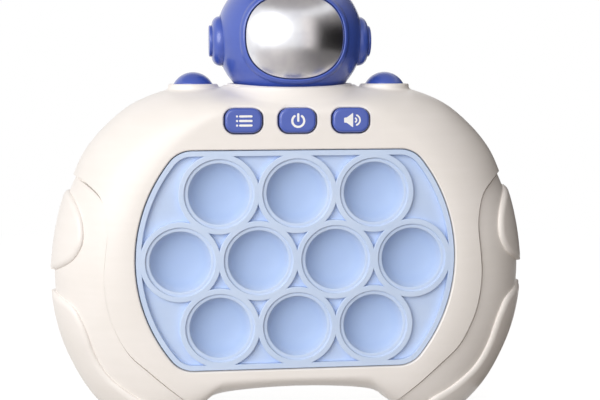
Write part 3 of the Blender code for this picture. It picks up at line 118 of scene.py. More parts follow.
def smooth_curve(points, steps=24):
    """Points of a curve that passes smoothly through the given ones."""
    points = np.array(points, float)
    ends = [2 * points[0] - points[1], *points, 2 * points[-1] - points[-2]]
    made = []
    for before, start, end, after in zip(ends, ends[1:], ends[2:], ends[3:]):
        for t in np.arange(steps) / steps:
            made.append(0.5 * (2 * start + (end - before) * t
                               + (2 * before - 5 * start + 4 * end - after) * t ** 2
                               + (3 * start - before - 3 * end + after) * t ** 3))
    return np.array([*made, points[-1]])


def bunched(count, power, start=0.0):
    """Shares from start to 1, closer together towards 1."""
    return 1 - (1 - np.linspace(start, 1.0, count)) ** power


def round_angles(count, shift=0.0):
    """Even angles of a full turn, moved on by a share of their spacing."""
    return (np.arange(count) + shift) * math.tau / count


def run_of(curve):
    """Distance of each point along a curve."""
    return np.concatenate([[0.0], np.cumsum(np.linalg.norm(np.diff(curve, axis=0), axis=1))])


def at_run(curve, runs):
    """Points of a curve at distances along it."""
    run = run_of(curve)
    return np.stack([np.interp(runs, run, part) for part in curve.T], axis=-1)


def left_of(curve):
    """Unit directions square to a flat curve, towards the left of its run."""
    along = np.gradient(curve, axis=0)
    along /= np.linalg.norm(along, axis=1, keepdims=True)
    return np.stack([-along[:, 1], along[:, 0]], axis=-1)


def nearest(curve, spot):
    return int(np.argmin(np.linalg.norm(curve - np.array(spot), axis=1)))


def scaled(shares, height):
    return [(x * HALF_WIDTH, z * height) for x, z in shares]


RIM = smooth_curve(scaled(TOP_shares, TOP_RISE) + scaled(GRIP_shares, CENTRE_Z)
                   + scaled(ARCH_shares, ARCH_DROP))
CREASE = smooth_curve(scaled(CREASE_TOP_shares, TOP_RISE) + scaled(CREASE_GRIP_shares, CENTRE_Z))


def rounded_disc(radius, top, bottom, corner, angles):
    """Outline of a disc with a flat top and bottom and rounded corners, as radii at angles."""
    up, across = np.sin(angles), np.abs(np.cos(angles))
    reach = np.where(up > 0, top, bottom)
    up = np.abs(up)
    hub_up = reach - corner
    hub_across = np.sqrt((radius - corner) ** 2 - hub_up ** 2)
    away = (hub_across * up - hub_up * across) ** 2
    rounded = hub_across * across + hub_up * up + np.sqrt(np.maximum(corner ** 2 - away, 0.0))
    flat = reach / np.maximum(up, 1e-9)
    ends = np.where(across * reach < hub_across * up, flat, rounded)
    return np.where(up * hub_across >= across * hub_up, ends, radius)


BEARINGS = np.linspace(-math.pi / 2, math.pi / 2, 3601)
FLAT_REACH = rounded_disc(PANEL_RADIUS + FLAT_MARGIN, PANEL_HALF_HEIGHT + FLAT_TOP_MARGIN,
                          PANEL_HALF_HEIGHT + FLAT_BOTTOM_MARGIN, FLAT_CORNER, BEARINGS)
RIM_REACH = np.interp(BEARINGS, np.arctan2(RIM[:, 1], RIM[:, 0])[::-1], np.hypot(*RIM.T)[::-1])


def edge_share(x, z):
    """How far a spot lies over the casing's rounded edge: 0 on the flat face, 1 at the rim."""
    bearing = np.arctan2(z, np.abs(x))
    flat = np.interp(bearing, BEARINGS, FLAT_REACH)
    rim = np.interp(bearing, BEARINGS, RIM_REACH)
    return np.maximum((np.hypot(x, z) - flat) / (rim - flat), 0.0)


RIM_START, RIM_END = nearest(RIM, CREASE[0]), nearest(RIM, CREASE[-1])
CREASE = CREASE[edge_share(*CREASE.T) < CREASE_END_SHARE]


def on_casing(spots, depth, level=0.0, step=SLOPE_STEP):
    """Spots of the front view on the outside of a shell, at a level above its plate."""
    x, z = spots[..., 0], spots[..., 1]
    share = np.minimum(edge_share(x, z), 1.0)
    bend = share ** (EDGE_POWER - 1) / (2 * step)
    rest = 1 - share ** EDGE_POWER
    normal = np.stack([bend * (edge_share(x + step, z) - edge_share(x - step, z)),
                       rest ** ((EDGE_POWER - 1) / EDGE_POWER) / depth,
                       bend * (edge_share(x, z + step) - edge_share(x, z - step))], axis=-1)
    normal /= np.linalg.norm(normal, axis=-1, keepdims=True)
    place = np.stack([x, depth * rest ** (1 / EDGE_POWER), z + CENTRE_Z], axis=-1)
    return place + normal * np.broadcast_to(level, x.shape)[..., None]


def panel_outline(grow, angles):
    """The panel's outline, made larger by grow, as spots at angles."""
    reach = rounded_disc(PANEL_RADIUS + grow, PANEL_HALF_HEIGHT + grow, PANEL_HALF_HEIGHT + grow,
                         PANEL_CORNER + grow, angles)
    return np.stack([reach * np.cos(angles), reach * np.sin(angles)], axis=-1)


def solid(points, faces):
    """Closed mesh from points in millimetres, with its faces turned outwards."""
    mesh = bpy.data.meshes.new("solid")
    mesh.from_pydata((np.asarray(points, float) * MM).tolist(), [], faces)
    bm = bmesh.new()
    bm.from_mesh(mesh)
    bmesh.ops.recalc_face_normals(bm, faces=bm.faces)
    if bm.calc_volume(signed=True) < 0:
        bmesh.ops.reverse_faces(bm, faces=bm.faces)
    bm.to_mesh(mesh)
    bm.free()
    return mesh


def numbered(rows):
    """Numbers of the points in rows of one length, as a grid."""
    return np.arange(len(rows) * len(rows[0])).reshape(len(rows), -1)


def quads(index):
    """Faces between the neighbouring rows of a grid of point numbers."""
    corners = [index[:-1, :-1], index[:-1, 1:], index[1:, 1:], index[1:, :-1]]
    return np.stack(corners, axis=-1).reshape(-1, 4).tolist()


def lattice(rows, ring=False, loop=True):
    """Solid through rows of points; ring joins the last row to the first, loop closes each row."""
    index = numbered(rows)
    caps = [index[0].tolist(), index[-1].tolist()] if loop else index[:, [0, -1]].T.tolist()
    if ring:
        index = np.vstack([index, index[:1]])
    if loop:
        index = np.hstack([index, index[:, :1]])
    return solid(np.concatenate(rows), quads(index) + ([] if ring and loop else caps))


def placed(spots, y):
    """Spots of the front view as points at a depth."""
    spots = np.asarray(spots, float)
    return np.stack([spots[:, 0], np.broadcast_to(y, len(spots)), spots[:, 1] + CENTRE_Z], axis=-1)


def prism(outline, *depths):
    return lattice([placed(outline, y) for y in depths])


def stacked(outline, profile):
    """Solid through an outline at each (grow, depth) of a profile."""
    return lattice([placed(outline(grow), y) for grow, y in profile])


def block(low, high):
    (x0, y0, z0), (x1, y1, z1) = low, high
    return lattice([np.array([(x0, y, z0), (x1, y, z0), (x1, y, z1), (x0, y, z1)]) for y in (y0, y1)])


def turned(profile, sides, axis, place=(0.0, 0.0, 0.0)):
    """Solid turned from (radius, along) points round an axis through a place."""
    turn = np.array({"X": ((0, 0, 1), (1, 0, 0), (0, 1, 0)), "Y": ((1, 0, 0), (0, 0, 1), (0, -1, 0)),
                     "Z": ((1, 0, 0), (0, 1, 0), (0, 0, 1))}[axis])
    points, rows, faces = [], [], []
    for radius, along in profile:
        angles = np.arange(sides if radius > 0 else 1) * math.tau / sides
        rows.append([len(points) + i for i in range(len(angles))])
        points += [turn @ (radius * math.cos(a), radius * math.sin(a), along) + place for a in angles]
    for near, far in zip(rows, rows[1:]):
        for i in range(sides):
            j = (i + 1) % sides
            corners = [near[i % len(near)], near[j % len(near)], far[j % len(far)], far[i % len(far)]]
            faces.append(list(dict.fromkeys(corners)))
    faces += [row for row in (rows[0], rows[-1]) if len(row) > 1]
    return solid(points, faces)


def turned_at(x, z, profile, sides, y=0.0):
    """Solid turned round a line along the depth, through a spot of the front view."""
    return turned(profile, sides, "Y", (x, y, z + CENTRE_Z))


def cylinder(radius, start, end, sides, axis, place=(0.0, 0.0, 0.0)):
    return turned([(radius, start), (radius, end)], sides, axis, place)


def rod(radius, start, end, x, z):
    return turned_at(x, z, [(radius, start), (radius, end)], ROD_SIDES)


def arc(centre, radius, start, end, steps=6):
    """Points of an arc round a centre, between angles in degrees."""
    angles = np.radians(np.linspace(start, end, steps + 1))
    return [(centre[0] + radius * math.cos(a), centre[1] + radius * math.sin(a)) for a in angles]


def rounded_rectangle(half_width, half_height, corner, x=0.0, z=0.0, steps=10):
    spots = []
    for quarter, (side, level) in enumerate(((1, 1), (-1, 1), (-1, -1), (1, -1))):
        hub = (x + side * (half_width - corner), z + level * (half_height - corner))
        spots += arc(hub, corner, 90 * quarter, 90 * quarter + 90, steps)
    return np.array(spots)


def circle(radius, x, z, sides=STUB_SIDES):
    angles = round_angles(sides)
    return np.stack([x + radius * np.cos(angles), z + radius * np.sin(angles)], axis=-1)


def ellipse(wide, deep, z, angles):
    """Points round the neck's axis at a height."""
    return np.stack([wide * np.cos(angles), deep * np.sin(angles), np.broadcast_to(z, angles.shape)], axis=-1)


def changed(mesh, operation, *others):
    """Mesh after a boolean with each of the others in turn, which are used up."""
    objects = []
    for each in (mesh, *others):
        made = bpy.data.objects.new("shaping", each)
        bpy.context.scene.collection.objects.link(made)
        objects.append(made)
    for other in objects[1:]:
        change = objects[0].modifiers.new("shaping", "BOOLEAN")
        change.operation, change.solver, change.object = operation, "MANIFOLD", other
    graph = bpy.context.evaluated_depsgraph_get()
    result = bpy.data.meshes.new_from_object(objects[0].evaluated_get(graph))
    result.materials.clear()
    for made in objects:
        bpy.data.objects.remove(made)
    for each in (mesh, *others):
        bpy.data.meshes.remove(each)
    return result


def cut(mesh, *others):
    return changed(mesh, "DIFFERENCE", *others)


def fused(mesh, *others):
    return changed(mesh, "UNION", *others)


def joined(*meshes):
    """One mesh that holds several, which don't touch."""
    bm = bmesh.new()
    for mesh in meshes:
        bm.from_mesh(mesh)
        bpy.data.meshes.remove(mesh)
    whole = bpy.data.meshes.new("joined")
    bm.to_mesh(whole)
    bm.free()
    return whole


def half_space(side):
    """Everything on a side of the parting plane, with half of the gap between the shells."""
    near, far = side * -GAP / 2, side * BEYOND
    return block((-BEYOND, min(near, far), -BEYOND), (BEYOND, max(near, far), BEYOND))


def below(z):
    """Everything under a height."""
    return block((-BEYOND, -BEYOND, z - BEYOND), (BEYOND, BEYOND, z))


# Raised plate of a shell, with a rounded edge along its crease
PLATE_EDGE_RADIUS, PLATE_FOOT = 0.35, 1.9
PLATE_EDGE_RUN_IN, PLATE_EDGE_LEAST_SHARE = 3.0, 0.03
PLATE_ANCHORS = [(90, (0.0, TOP_RISE)), (38, RIM[RIM_START]), (13, (60.2, 15.0)), (-10, (61.2, -8.0)),
                 (-34, (54.0, -29.5)), (-47, (36.0, -45.6)), (-58, RIM[RIM_END]), (-90, (0.0, -ARCH_DROP))]
PLATE_SPACING = 0.8
PLATE_ROWS, EDGE_STEPS = 40, 5
MIDDLE_SHARE = 0.04


def mirrored(half):
    """A closed loop from its right half, which starts and ends on the middle line."""
    left = half[-2:0:-1] * np.array([-1.0, 1.0] + [1.0] * (half.shape[1] - 2))
    return np.concatenate([half, left])


def plate_loops():
    """Matching loops of the plate: spots of its middle outline, of its edge and the edge's outward
    direction times the radius that it is rounded with."""
    pieces = [RIM[:RIM_START + 1], CREASE, RIM[RIM_END:]]
    edges = []
    for piece, rounding in zip(pieces, (0.0, PLATE_EDGE_RADIUS, 0.0)):
        length = run_of(piece)[-1]
        runs = np.linspace(0.0, length, max(int(length / PLATE_SPACING), 2))
        spots = at_run(piece, runs)
        run_in = np.minimum(runs, length - runs) / PLATE_EDGE_RUN_IN
        grown = np.clip(run_in, PLATE_EDGE_LEAST_SHARE, 1.0)
        edges.append(np.concatenate([spots, left_of(spots) * (rounding * grown)[:, None]], axis=1))
    half = np.concatenate(edges)
    run = run_of(half[:, :2])
    stops = [run[nearest(half[:, :2], spot)] for angle, spot in PLATE_ANCHORS]
    angles = np.radians(np.interp(run, stops, [angle for angle, spot in PLATE_ANCHORS]))
    return mirrored(panel_outline(0.0, angles)), mirrored(half)


def past_plane(points, depth, share=1.0):
    """Points of the rim, carried over the parting plane."""
    moved = points.copy()
    moved[:, 1] = -math.copysign(OVERRUN * share, depth)
    return moved


def plate_solid(depth):
    """Slab of the raised plate, from a small loop in the middle out to its edge."""
    inner, half = plate_loops()
    edge, rounding = half[:, :2], half[:, 2:]
    on_rim = np.all(rounding == 0.0, axis=1)[:, None]
    kept = edge - rounding
    rows = [on_casing(inner * share, depth) for share in (MIDDLE_SHARE, 0.5)]
    shares = bunched(PLATE_ROWS, EDGE_POWER)
    rows += [on_casing(inner + (kept - inner) * share, depth) for share in shares]
    last = rows[-1]
    radii = np.linalg.norm(rounding, axis=1)
    for angle in np.linspace(0.0, math.pi / 2, EDGE_STEPS + 1)[1:]:
        rounded = on_casing(kept + rounding * math.sin(angle), depth, radii * (math.cos(angle) - 1))
        rows.append(np.where(on_rim, past_plane(last, depth, angle / math.pi), rounded))
    feet = [on_casing(row, depth, -PLATE_FOOT) for row in (edge, kept)]
    rows += [np.where(on_rim, past_plane(row, depth), foot) for row, foot in zip((last, feet[1]), feet)]
    for share in shares[-3::-4]:
        rows.append(on_casing(inner + (kept - inner) * share, depth, -PLATE_FOOT))
    rows.append(on_casing(inner * MIDDLE_SHARE, depth, -PLATE_FOOT))
    return lattice(rows, ring=True)


def base_solid(depth, level, columns=560, rows=34):
    """The casing at one level all over, filled up to beyond the parting plane."""
    run = run_of(RIM)
    half = at_run(RIM, np.linspace(0.0, run[-1], columns // 2 + 1))
    rim = mirrored(half)
    middle = rounded_disc(PANEL_RADIUS, PANEL_HALF_HEIGHT, PANEL_HALF_HEIGHT, PANEL_CORNER,
                          np.arctan2(rim[:, 1], rim[:, 0])) / np.hypot(*rim.T)
    inner = rim * middle[:, None]
    grid = [on_casing(inner * 0.5, depth, level)]
    for share in bunched(rows, EDGE_POWER):
        grid.append(on_casing(inner + (rim - inner) * share, depth, level))
    return lattice([*grid, past_plane(grid[-1], depth)])


PAD_BEAD, PAD_FOOT, PAD_REACH_SHARE = 2.0, 0.6, 0.985
PAD_COLUMNS, BEAD_STEPS, PAD_STEPS, PAD_FINE_STEPS = 150, 8, 16, 200


def pad_solid(depth, shares, side):
    """Raised grip pad: a lens between its inner edge and the rim, with a rounded bead."""
    curve = smooth_curve([(across * HALF_WIDTH, up * (TOP_RISE if up > 0 else CENTRE_Z))
                          for up, across in shares])
    length = run_of(curve)[-1]
    ends = [nearest(RIM, curve[0]), nearest(RIM, curve[-1])]
    outer = at_run(RIM, np.linspace(*run_of(RIM)[ends], PAD_COLUMNS))
    inner = at_run(curve, np.linspace(0.0, length, PAD_COLUMNS))
    inner = outer + (inner - outer) * PAD_REACH_SHARE
    fine = bunched(PAD_FINE_STEPS, EDGE_POWER)
    surface = on_casing(inner[None] + (outer - inner)[None] * fine[:, None, None], depth)
    lengths = np.concatenate([np.zeros((1, PAD_COLUMNS)),
                              np.cumsum(np.linalg.norm(np.diff(surface, axis=0), axis=2), axis=0)])
    border = on_casing(at_run(curve, np.linspace(0.0, length, 4 * PAD_COLUMNS)), depth)
    tree = KDTree(len(border))
    for number, point in enumerate(border):
        tree.insert(Vector(point), number)
    tree.balance()
    bead = PAD_BEAD * (1 - np.cos(np.linspace(0.0, math.pi / 2, BEAD_STEPS)))
    grid, levels = [], []
    for column in range(PAD_COLUMNS):
        total = lengths[-1, column]
        reach = np.concatenate([bead * min(1.0, 0.5 * total / PAD_BEAD),
                                np.linspace(min(PAD_BEAD, 0.5 * total), total, PAD_STEPS + 1)[1:]])
        share = np.interp(reach, lengths[:, column], fine)
        grid.append(inner[column] + (outer[column] - inner[column]) * share[:, None])
        away = np.array([tree.find(Vector(point))[2] for point in on_casing(grid[-1], depth)])
        levels.append(np.sqrt(1 - (1 - np.minimum(away / PAD_BEAD, 1.0)) ** 2) * PAD_RISE - PLATE_STEP)
    grid, levels = np.stack(grid, axis=1), np.stack(levels, axis=1)
    foot = -PLATE_STEP - PAD_FOOT
    rows = [on_casing(spots, depth, level) for spots, level in zip(grid, levels)]
    under = on_casing(grid[-1], depth, foot)
    rows += [past_plane(rows[-1], depth), past_plane(under, depth), under]
    rows += [on_casing(spots, depth, foot) for spots in grid[-4::-3]]
    rows.append(on_casing(grid[0], depth, foot))
    return lattice([row * np.array([side, 1.0, 1.0]) for row in rows], ring=True, loop=False)


# Neck, collars and helmet
HELMET_HALF = np.array([24.5, 22.0, 23.0])
HELMET_RISE, HELMET_DROP = 16.3, 16.9
HELMET_Z = TOP_Z + HELMET_RISE
HELMET_FOOT_Z = HELMET_Z - HELMET_DROP
NECK_RISE, NECK_FLARE, NECK_FOOT = 1.4, 1.6, 5.5
NECK_GIRTH = math.sqrt(1 - ((HELMET_RISE - NECK_RISE) / HELMET_HALF[2]) ** 2)
NECK_HALF = HELMET_HALF[:2] * NECK_GIRTH + np.array([2.24, 1.84])
NECK_COLUMNS, NECK_ROWS = 200, 16
SEAT_CLEARANCE, SEAT_OVERCUT, SEAT_ROWS = 0.8, 2.0, 24
NECK_DIP, NECK_LIP, APRON_BLEND, APRON_LOW, APRON_FADE, COLLAR_BLEND = 1.2, 0.4, 3.6, 7.5, 5.0, 1.2
LEAST_BLEND = 0.05
SHOULDER_X, SHOULDER_RADIUS, SHOULDER_HEIGHT = 32.2, 6.45, 3.9
SHOULDER_FLANGE, SHOULDER_FLANGE_THICKNESS, SHOULDER_ROOM = 1.3, 1.4, 6.0
SHOULDER_STEM_RADIUS, SHOULDER_STEM_LENGTH, SHOULDER_ROWS = 2.2, 4.8, 24
BOARD_SIDE_FLAT, FLAT_CUT, FLAT_OVERCUTS = -4.3, 9.0, (0.2, 0.15)
COLLAR_RADIUS, COLLAR_RISE, COLLAR_EDGE, COLLAR_FOOT, COLLAR_STEP = 8.25, 1.2, 0.6, 4.0, 0.5
COLLAR_Z = TOP_Z + COLLAR_RISE
HOLE_LIP = 0.3
STUB_RADIUS, STUB_BORE_RADIUS, STUB_FLANGE, STUB_FLANGE_THICKNESS = 9.0, 7.0, 1.8, 1.4
STUB_OVERLAP, STUB_OVERCUT, STUB_BORE_RISE = 1.0, 3.0, 4.0
UNDER_WALL_Z = TOP_Z - WALL - 2 * GAP


def neck_girth(z):
    """Half sizes of the neck at a height."""
    down = (TOP_Z + NECK_RISE - z) / (NECK_RISE + NECK_FOOT)
    return NECK_HALF[0] + NECK_FLARE * down, NECK_HALF[1] + NECK_FLARE * down


def neck_solid():
    angles = round_angles(NECK_COLUMNS)
    dip = NECK_DIP * np.maximum(-np.sin(angles), 0.0) ** 2
    rows = []
    for share in np.linspace(0.0, 1.0, NECK_ROWS):
        z = TOP_Z - NECK_FOOT + (NECK_RISE + NECK_FOOT - NECK_LIP - dip) * share
        rows.append(ellipse(*neck_girth(z), z, angles))
    for x, up in arc((-NECK_LIP, -NECK_LIP), NECK_LIP, 0, 90, 4)[1:]:
        rows.append(ellipse(*(NECK_HALF + x), TOP_Z + NECK_RISE - dip + up, angles))
    return lattice(rows)


def collar_solid(x):
    profile = [(COLLAR_RADIUS, TOP_Z - COLLAR_FOOT + up)
               for up in np.arange(0.0, COLLAR_FOOT + COLLAR_EDGE, COLLAR_STEP)]
    profile += arc((COLLAR_RADIUS - COLLAR_EDGE, COLLAR_Z - COLLAR_EDGE), COLLAR_EDGE, 0, 90)
    return turned(profile, BUTTON_SIDES, "Z", (x, 0.0, 0.0))


def slope(level, points, step):
    """How fast a level changes at points, along x, y and z."""
    return np.stack([level(points + move) - level(points - move) for move in np.eye(3) * step]) / (2 * step)


def plate_level(points):
    """Rough height of points over the plate's surface, for both shells."""
    depth = np.where(points[:, 1] < 0, -DEPTHS[FRONT], DEPTHS[REAR])

    def roundness(at):
        share = edge_share(at[:, 0], at[:, 2] - CENTRE_Z)
        return (share ** EDGE_POWER + (np.abs(at[:, 1]) / depth) ** EDGE_POWER) ** (1 / EDGE_POWER)
    pull = slope(roundness, points, SLOPE_STEP)
    return (roundness(points) - 1) / np.maximum(np.linalg.norm(pull, axis=0), 1e-6)


def neck_level(points):
    """Rough distance of points from the neck's side."""
    x, y, z = points.T
    wide, deep = neck_girth(z)
    size = np.hypot(x / wide, y / deep)
    pull = np.hypot(x / wide ** 2, y / deep ** 2) / np.maximum(size, 1e-6)
    return (size - 1) / np.maximum(pull, 1e-6)


def apron_blend(points):
    """Size of the fillet round the neck, which fades out down the brow."""
    share = np.clip((points[:, 2] - TOP_Z + APRON_LOW) / APRON_FADE, 0.0, 1.0)
    return APRON_BLEND * share * share * (3 - 2 * share) + LEAST_BLEND


def collar_level(points):
    return np.hypot(np.abs(points[:, 0]) - SHOULDER_X, points[:, 1]) - COLLAR_RADIUS


def softened(mesh, other_level, blend_at, highest, near=0.05, step=0.02, turns=8):
    """The mesh with a fillet where the plate meets another form, up to a height. Points near the
    surface move on to the fillet's in a few turns."""
    points = np.empty(len(mesh.vertices) * 3)
    mesh.vertices.foreach_get("co", points)
    points = points.reshape(-1, 3) / MM

    def height(at):
        first, second, blend = plate_level(at), other_level(at), blend_at(at)
        meeting = np.maximum(blend - np.abs(first - second), 0.0) / blend
        return np.minimum(first, second) - meeting ** 2 * blend / 4
    lowest = np.minimum(plate_level(points), other_level(points))
    moved = np.flatnonzero((np.abs(lowest) < near) & (points[:, 2] < highest) & (height(points) < -1e-4))
    for _ in range(turns):
        at = points[moved]
        pull = slope(height, at, step)
        points[moved] = at - (height(at) * pull / np.maximum(np.sum(pull ** 2, axis=0), 0.05)).T
    mesh.vertices.foreach_set("co", (points * MM).ravel())
    return mesh


# Holes, keys and screws
KEY_X = (-17.15, 0.0, 17.15)
KEY_Z = PANEL_HALF_HEIGHT + 9.6
KEY_HALF_WIDTH, KEY_HALF_HEIGHT, KEY_CORNER, KEY_PROUD, KEY_GAP = 5.88, 3.92, 3.15, 0.85, 0.42
KEY_EDGE, KEY_EDGE_STEPS, KEY_BORDER, KEY_MIDDLE = 0.8, 7, 0.6, 2.9
KEY_FLANGE, KEY_FLANGE_DEPTHS = 1.0, (-19.0, -17.8)
KEY_STEM_RADIUS, KEY_STEM_DEPTHS = 2.0, (-18.0, -11.3)
OPENING_LIP, PANEL_CUT, KEY_CUT = 0.5, -18.0, -17.0
SHOULDERS = {"left": -SHOULDER_X, "right": SHOULDER_X}
CASE_SCREWS = [(-58.5, 24.5), (58.5, 24.5), (-54.0, -38.0), (54.0, -38.0)]
HEAD_RADIUS, SCREW_RADIUS, SCREW_SEAT, WELL_LIP = 2.6, 1.2, 4.0, 0.4
CASE_SCREW_LENGTH, DOOR_SCREW = 12.0, (22.2, 7.0)
HEAD_HEIGHT, CROWN_RADIUS, CROWN_DROP, CROWN_shares = 1.2, 2.1, 0.12, (0.4, 0.8, 1.0)
HEAD_SIDE = [(2.45, 0.95), (2.6, 0.6), (2.6, 0.0)]
CROSS_HALF, CROSS_ARM, CROSS_DEPTHS = 0.3, 1.45, (0.5, 3.0)
GROOVE_WIDTH, GROOVE_DEPTH, GROOVE_START, GROOVE_COLUMNS = 0.75, 1.3, 2.5, 220
GROOVE_LAG, GROOVE_INNER, GROOVE_TOP, GROOVE_LEAST_SHARE = 0.2, 0.5, 0.4, 0.1
SEAM_DEPTHS, TONGUE_INSETS, TONGUE_FOOT = (-0.75, 0.13), (1.6, 2.8), 0.8


def sinking_cutter(outline, depth, gap, lip, bottom):
    """Tool for a hole in a shell: its wall stands gap outside the outline and its lip is rounded."""
    rows = [on_casing(outline(gap + lip), depth, CUT_RISE)]
    for grow, level in arc((gap + lip, -lip), lip, 180 - LIP_TURN, 180, LIP_STEPS + 1):
        rows.append(on_casing(outline(grow), depth, level))
    return lattice([*rows, placed(outline(gap), bottom)])


def bubble_spots():
    spots = []
    for row, count in enumerate(ROW_COUNTS):
        spots += [((i - (count - 1) / 2) * BUBBLE_PITCH, (1 - row) * ROW_PITCH) for i in range(count)]
    return spots


def groove_cutter(depth, side):
    """Tool for the thin gap along the foot of the raised plate, which runs out at its upper end."""
    length = run_of(CREASE)[-1]
    runs = np.linspace(GROOVE_LAG, length + GROOVE_LAG, GROOVE_COLUMNS)
    spots = at_run(CREASE, runs)
    outward = left_of(at_run(CREASE, np.linspace(GROOVE_LAG, length, GROOVE_COLUMNS)))
    inner, outer = spots - outward * GROOVE_INNER, spots + outward * GROOVE_WIDTH
    top = GROOVE_TOP - PLATE_STEP
    bottom = -PLATE_STEP - GROOVE_DEPTH * np.clip(runs / GROOVE_START, GROOVE_LEAST_SHARE, 1.0)
    corners = [on_casing(row, depth, level)
               for row, level in ((inner, top), (outer, top), (outer, bottom), (inner, bottom))]
    return lattice(list(np.stack(corners, axis=1) * np.array([side, 1.0, 1.0])))


def shell_body(side):
    """Outside of a shell, from its parts to their fillets, cut level at the soles and at the parting plane;
    front_shell and rear_shell cut its hollow.
    """
    depth = DEPTHS[side]
    pads = [pad_solid(depth, shares, x) for shares in (UPPER_PAD_shares, LOWER_PAD_shares) for x in (-1, 1)]
    base = cut(base_solid(depth, -PLATE_STEP), *[groove_cutter(depth, x) for x in (-1, 1)])
    mesh = fused(base, plate_solid(depth), *pads)
    mesh = fused(mesh, neck_solid())
    mesh = softened(mesh, neck_level, apron_blend, TOP_Z + NECK_RISE - NECK_DIP)
    mesh = fused(mesh, *[collar_solid(x) for x in SHOULDERS.values()])
    mesh = softened(mesh, collar_level, lambda at: COLLAR_BLEND, COLLAR_Z - COLLAR_EDGE)
    return cut(mesh, below(0.0), half_space(-side))


def shell_room(side):
    """Hollow of a shell."""
    mesh = base_solid(DEPTHS[side], -WALL, columns=120, rows=12)
    for vertex in mesh.vertices:
        vertex.co.z = max(vertex.co.z, WALL * MM)
    return mesh


def neck_cutters():
    """Room for the shoulder buttons, the helmet's foot and the helmet's stub."""
    hole, flange = SHOULDER_RADIUS + GAP, SHOULDER_RADIUS + GAP + SHOULDER_FLANGE
    ceiling = TOP_Z - WALL
    profile = [(flange, ceiling - SHOULDER_ROOM), (flange, ceiling - GAP), (hole, ceiling - GAP),
               *arc((hole + HOLE_LIP, COLLAR_Z - HOLE_LIP), HOLE_LIP, 180, 180 - LIP_TURN, LIP_STEPS),
               (hole + HOLE_LIP, COLLAR_Z + OVERRUN)]
    angles = round_angles(NECK_COLUMNS)
    rows = []
    for up in np.linspace(-HELMET_DROP - GAP, NECK_RISE + SEAT_OVERCUT - HELMET_RISE, SEAT_ROWS):
        share = math.sqrt(1 - (up / (HELMET_HALF[2] + SEAT_CLEARANCE)) ** 2)
        rows.append(ellipse(*(HELMET_HALF[:2] + SEAT_CLEARANCE) * share, HELMET_Z + up, angles))
    stub = cylinder(STUB_RADIUS + GAP, ceiling - STUB_OVERCUT, HELMET_FOOT_Z + STUB_OVERLAP, STUB_SIDES, "Z")
    return [*[turned(profile, SEAT_SIDES, "Z", (x, 0.0, 0.0)) for x in SHOULDERS.values()], lattice(rows), stub]


def tongue():
    """Lip along the rim of the front shell, which closes the seam between the shells."""
    length = run_of(RIM)[-1]
    spots = at_run(RIM, np.linspace(0.0, length, int(length)))
    outer, inner = [mirrored(spots - left_of(spots) * inset) for inset in TONGUE_INSETS]
    low, high = SEAM_DEPTHS
    corners = ((outer, low), (outer, high), (inner, high), (inner, low))
    ring = lattice([placed(row, y) for row, y in corners], ring=True)
    return cut(ring, below(TONGUE_FOOT), *neck_cutters())


def key_outline(x, grow):
    return rounded_rectangle(KEY_HALF_WIDTH + grow, KEY_HALF_HEIGHT + grow, KEY_CORNER + grow, x, KEY_Z)


def front_shell():
    depth = DEPTHS[FRONT]
    mesh = cut(shell_body(FRONT), shell_room(FRONT), *neck_cutters())
    angles = round_angles(360, 0.5)
    holes = [sinking_cutter(lambda grow: panel_outline(grow, angles), depth, GAP, OPENING_LIP, PANEL_CUT)]
    holes += [sinking_cutter(lambda grow, x=x: key_outline(x, grow), depth, KEY_GAP, OPENING_LIP, KEY_CUT)
              for x in KEY_X]
    return joined(cut(mesh, *holes), tongue())


# Battery bay, its door and the speaker's grille
BAY_Z = -11.0
BAY_HALF_WIDTH, BAY_HALF_HEIGHT, BAY_FLOOR, BAY_WALL = 29.0, 23.15, 5.9, 1.8
DOOR_FRONT, DOOR_HALF_WIDTH, DOOR_HALF_HEIGHT, DOOR_CORNER, DOOR_EDGE = 21.3, 30.4, 24.55, 1.2, 0.5
DOOR_TAB_HALF_WIDTH, DOOR_TAB_HEIGHT, DOOR_OVERCUT, DOOR_HEAD_SEAT = 6.0, 6.2, 1.0, 0.6
DOOR_SCREW_Z = BAY_Z + DOOR_HALF_HEIGHT + DOOR_TAB_HEIGHT / 2
DOOR_RIBS_Z, DOOR_RIB_LOW, DOOR_RIB_HIGH = (-7.6, 7.6), (-20.0, -2.2, -0.8), (20.0, 1.0, 0.8)
BOSS_RADIUS, BOSS_FRONT, DOOR_BOSS_RADIUS, DOOR_BOSS_FRONT, PILOT_DEPTHS = 4.4, -5.0, 3.4, 12.0, (13.7, 24.0)
LEAD_HOLE_RADIUS, LEAD_HOLE_X, LEAD_HOLE_RISE, LEAD_OVERCUT = 0.9, 27.8, 15.2, 1.0
SPEAKER_Z, CONE_RADIUS, SLOT_COUNT, SLOT_PITCH, SLOT_HALF_HEIGHT = 33.5, 10.6, 7, 3.0, 0.7
GRILLE_DEPTH = 18.0


def door_outline(grow):
    """Right half and left half of the battery door's outline. Its outer corners stand higher than the
    foot of the tab that takes its screw."""
    corner, hub_x, hub_z = DOOR_CORNER, DOOR_HALF_WIDTH - DOOR_CORNER, DOOR_HALF_HEIGHT + DOOR_CORNER
    half = [*arc((hub_x, corner - DOOR_HALF_HEIGHT), corner + grow, -90, 0),
            *arc((hub_x, hub_z), corner + grow, 0, 90),
            *arc((DOOR_TAB_HALF_WIDTH + corner, hub_z), corner - grow, 270, 180),
            *arc((DOOR_TAB_HALF_WIDTH - corner, hub_z + DOOR_TAB_HEIGHT), corner + grow, 0, 90)]
    return np.concatenate([half, half[::-1] * np.array([-1.0, 1.0])]) + np.array([0.0, BAY_Z])


def flat_cutter(outline, gap, lip, bottom, top=DEPTHS[REAR]):
    """Tool for a hole in the flat back, with a rounded lip."""
    edge = arc((gap + lip, top - lip), lip, 180, 180 - LIP_TURN, LIP_STEPS)
    return stacked(outline, [(gap, bottom), *edge, (gap + lip, top + OVERRUN)])


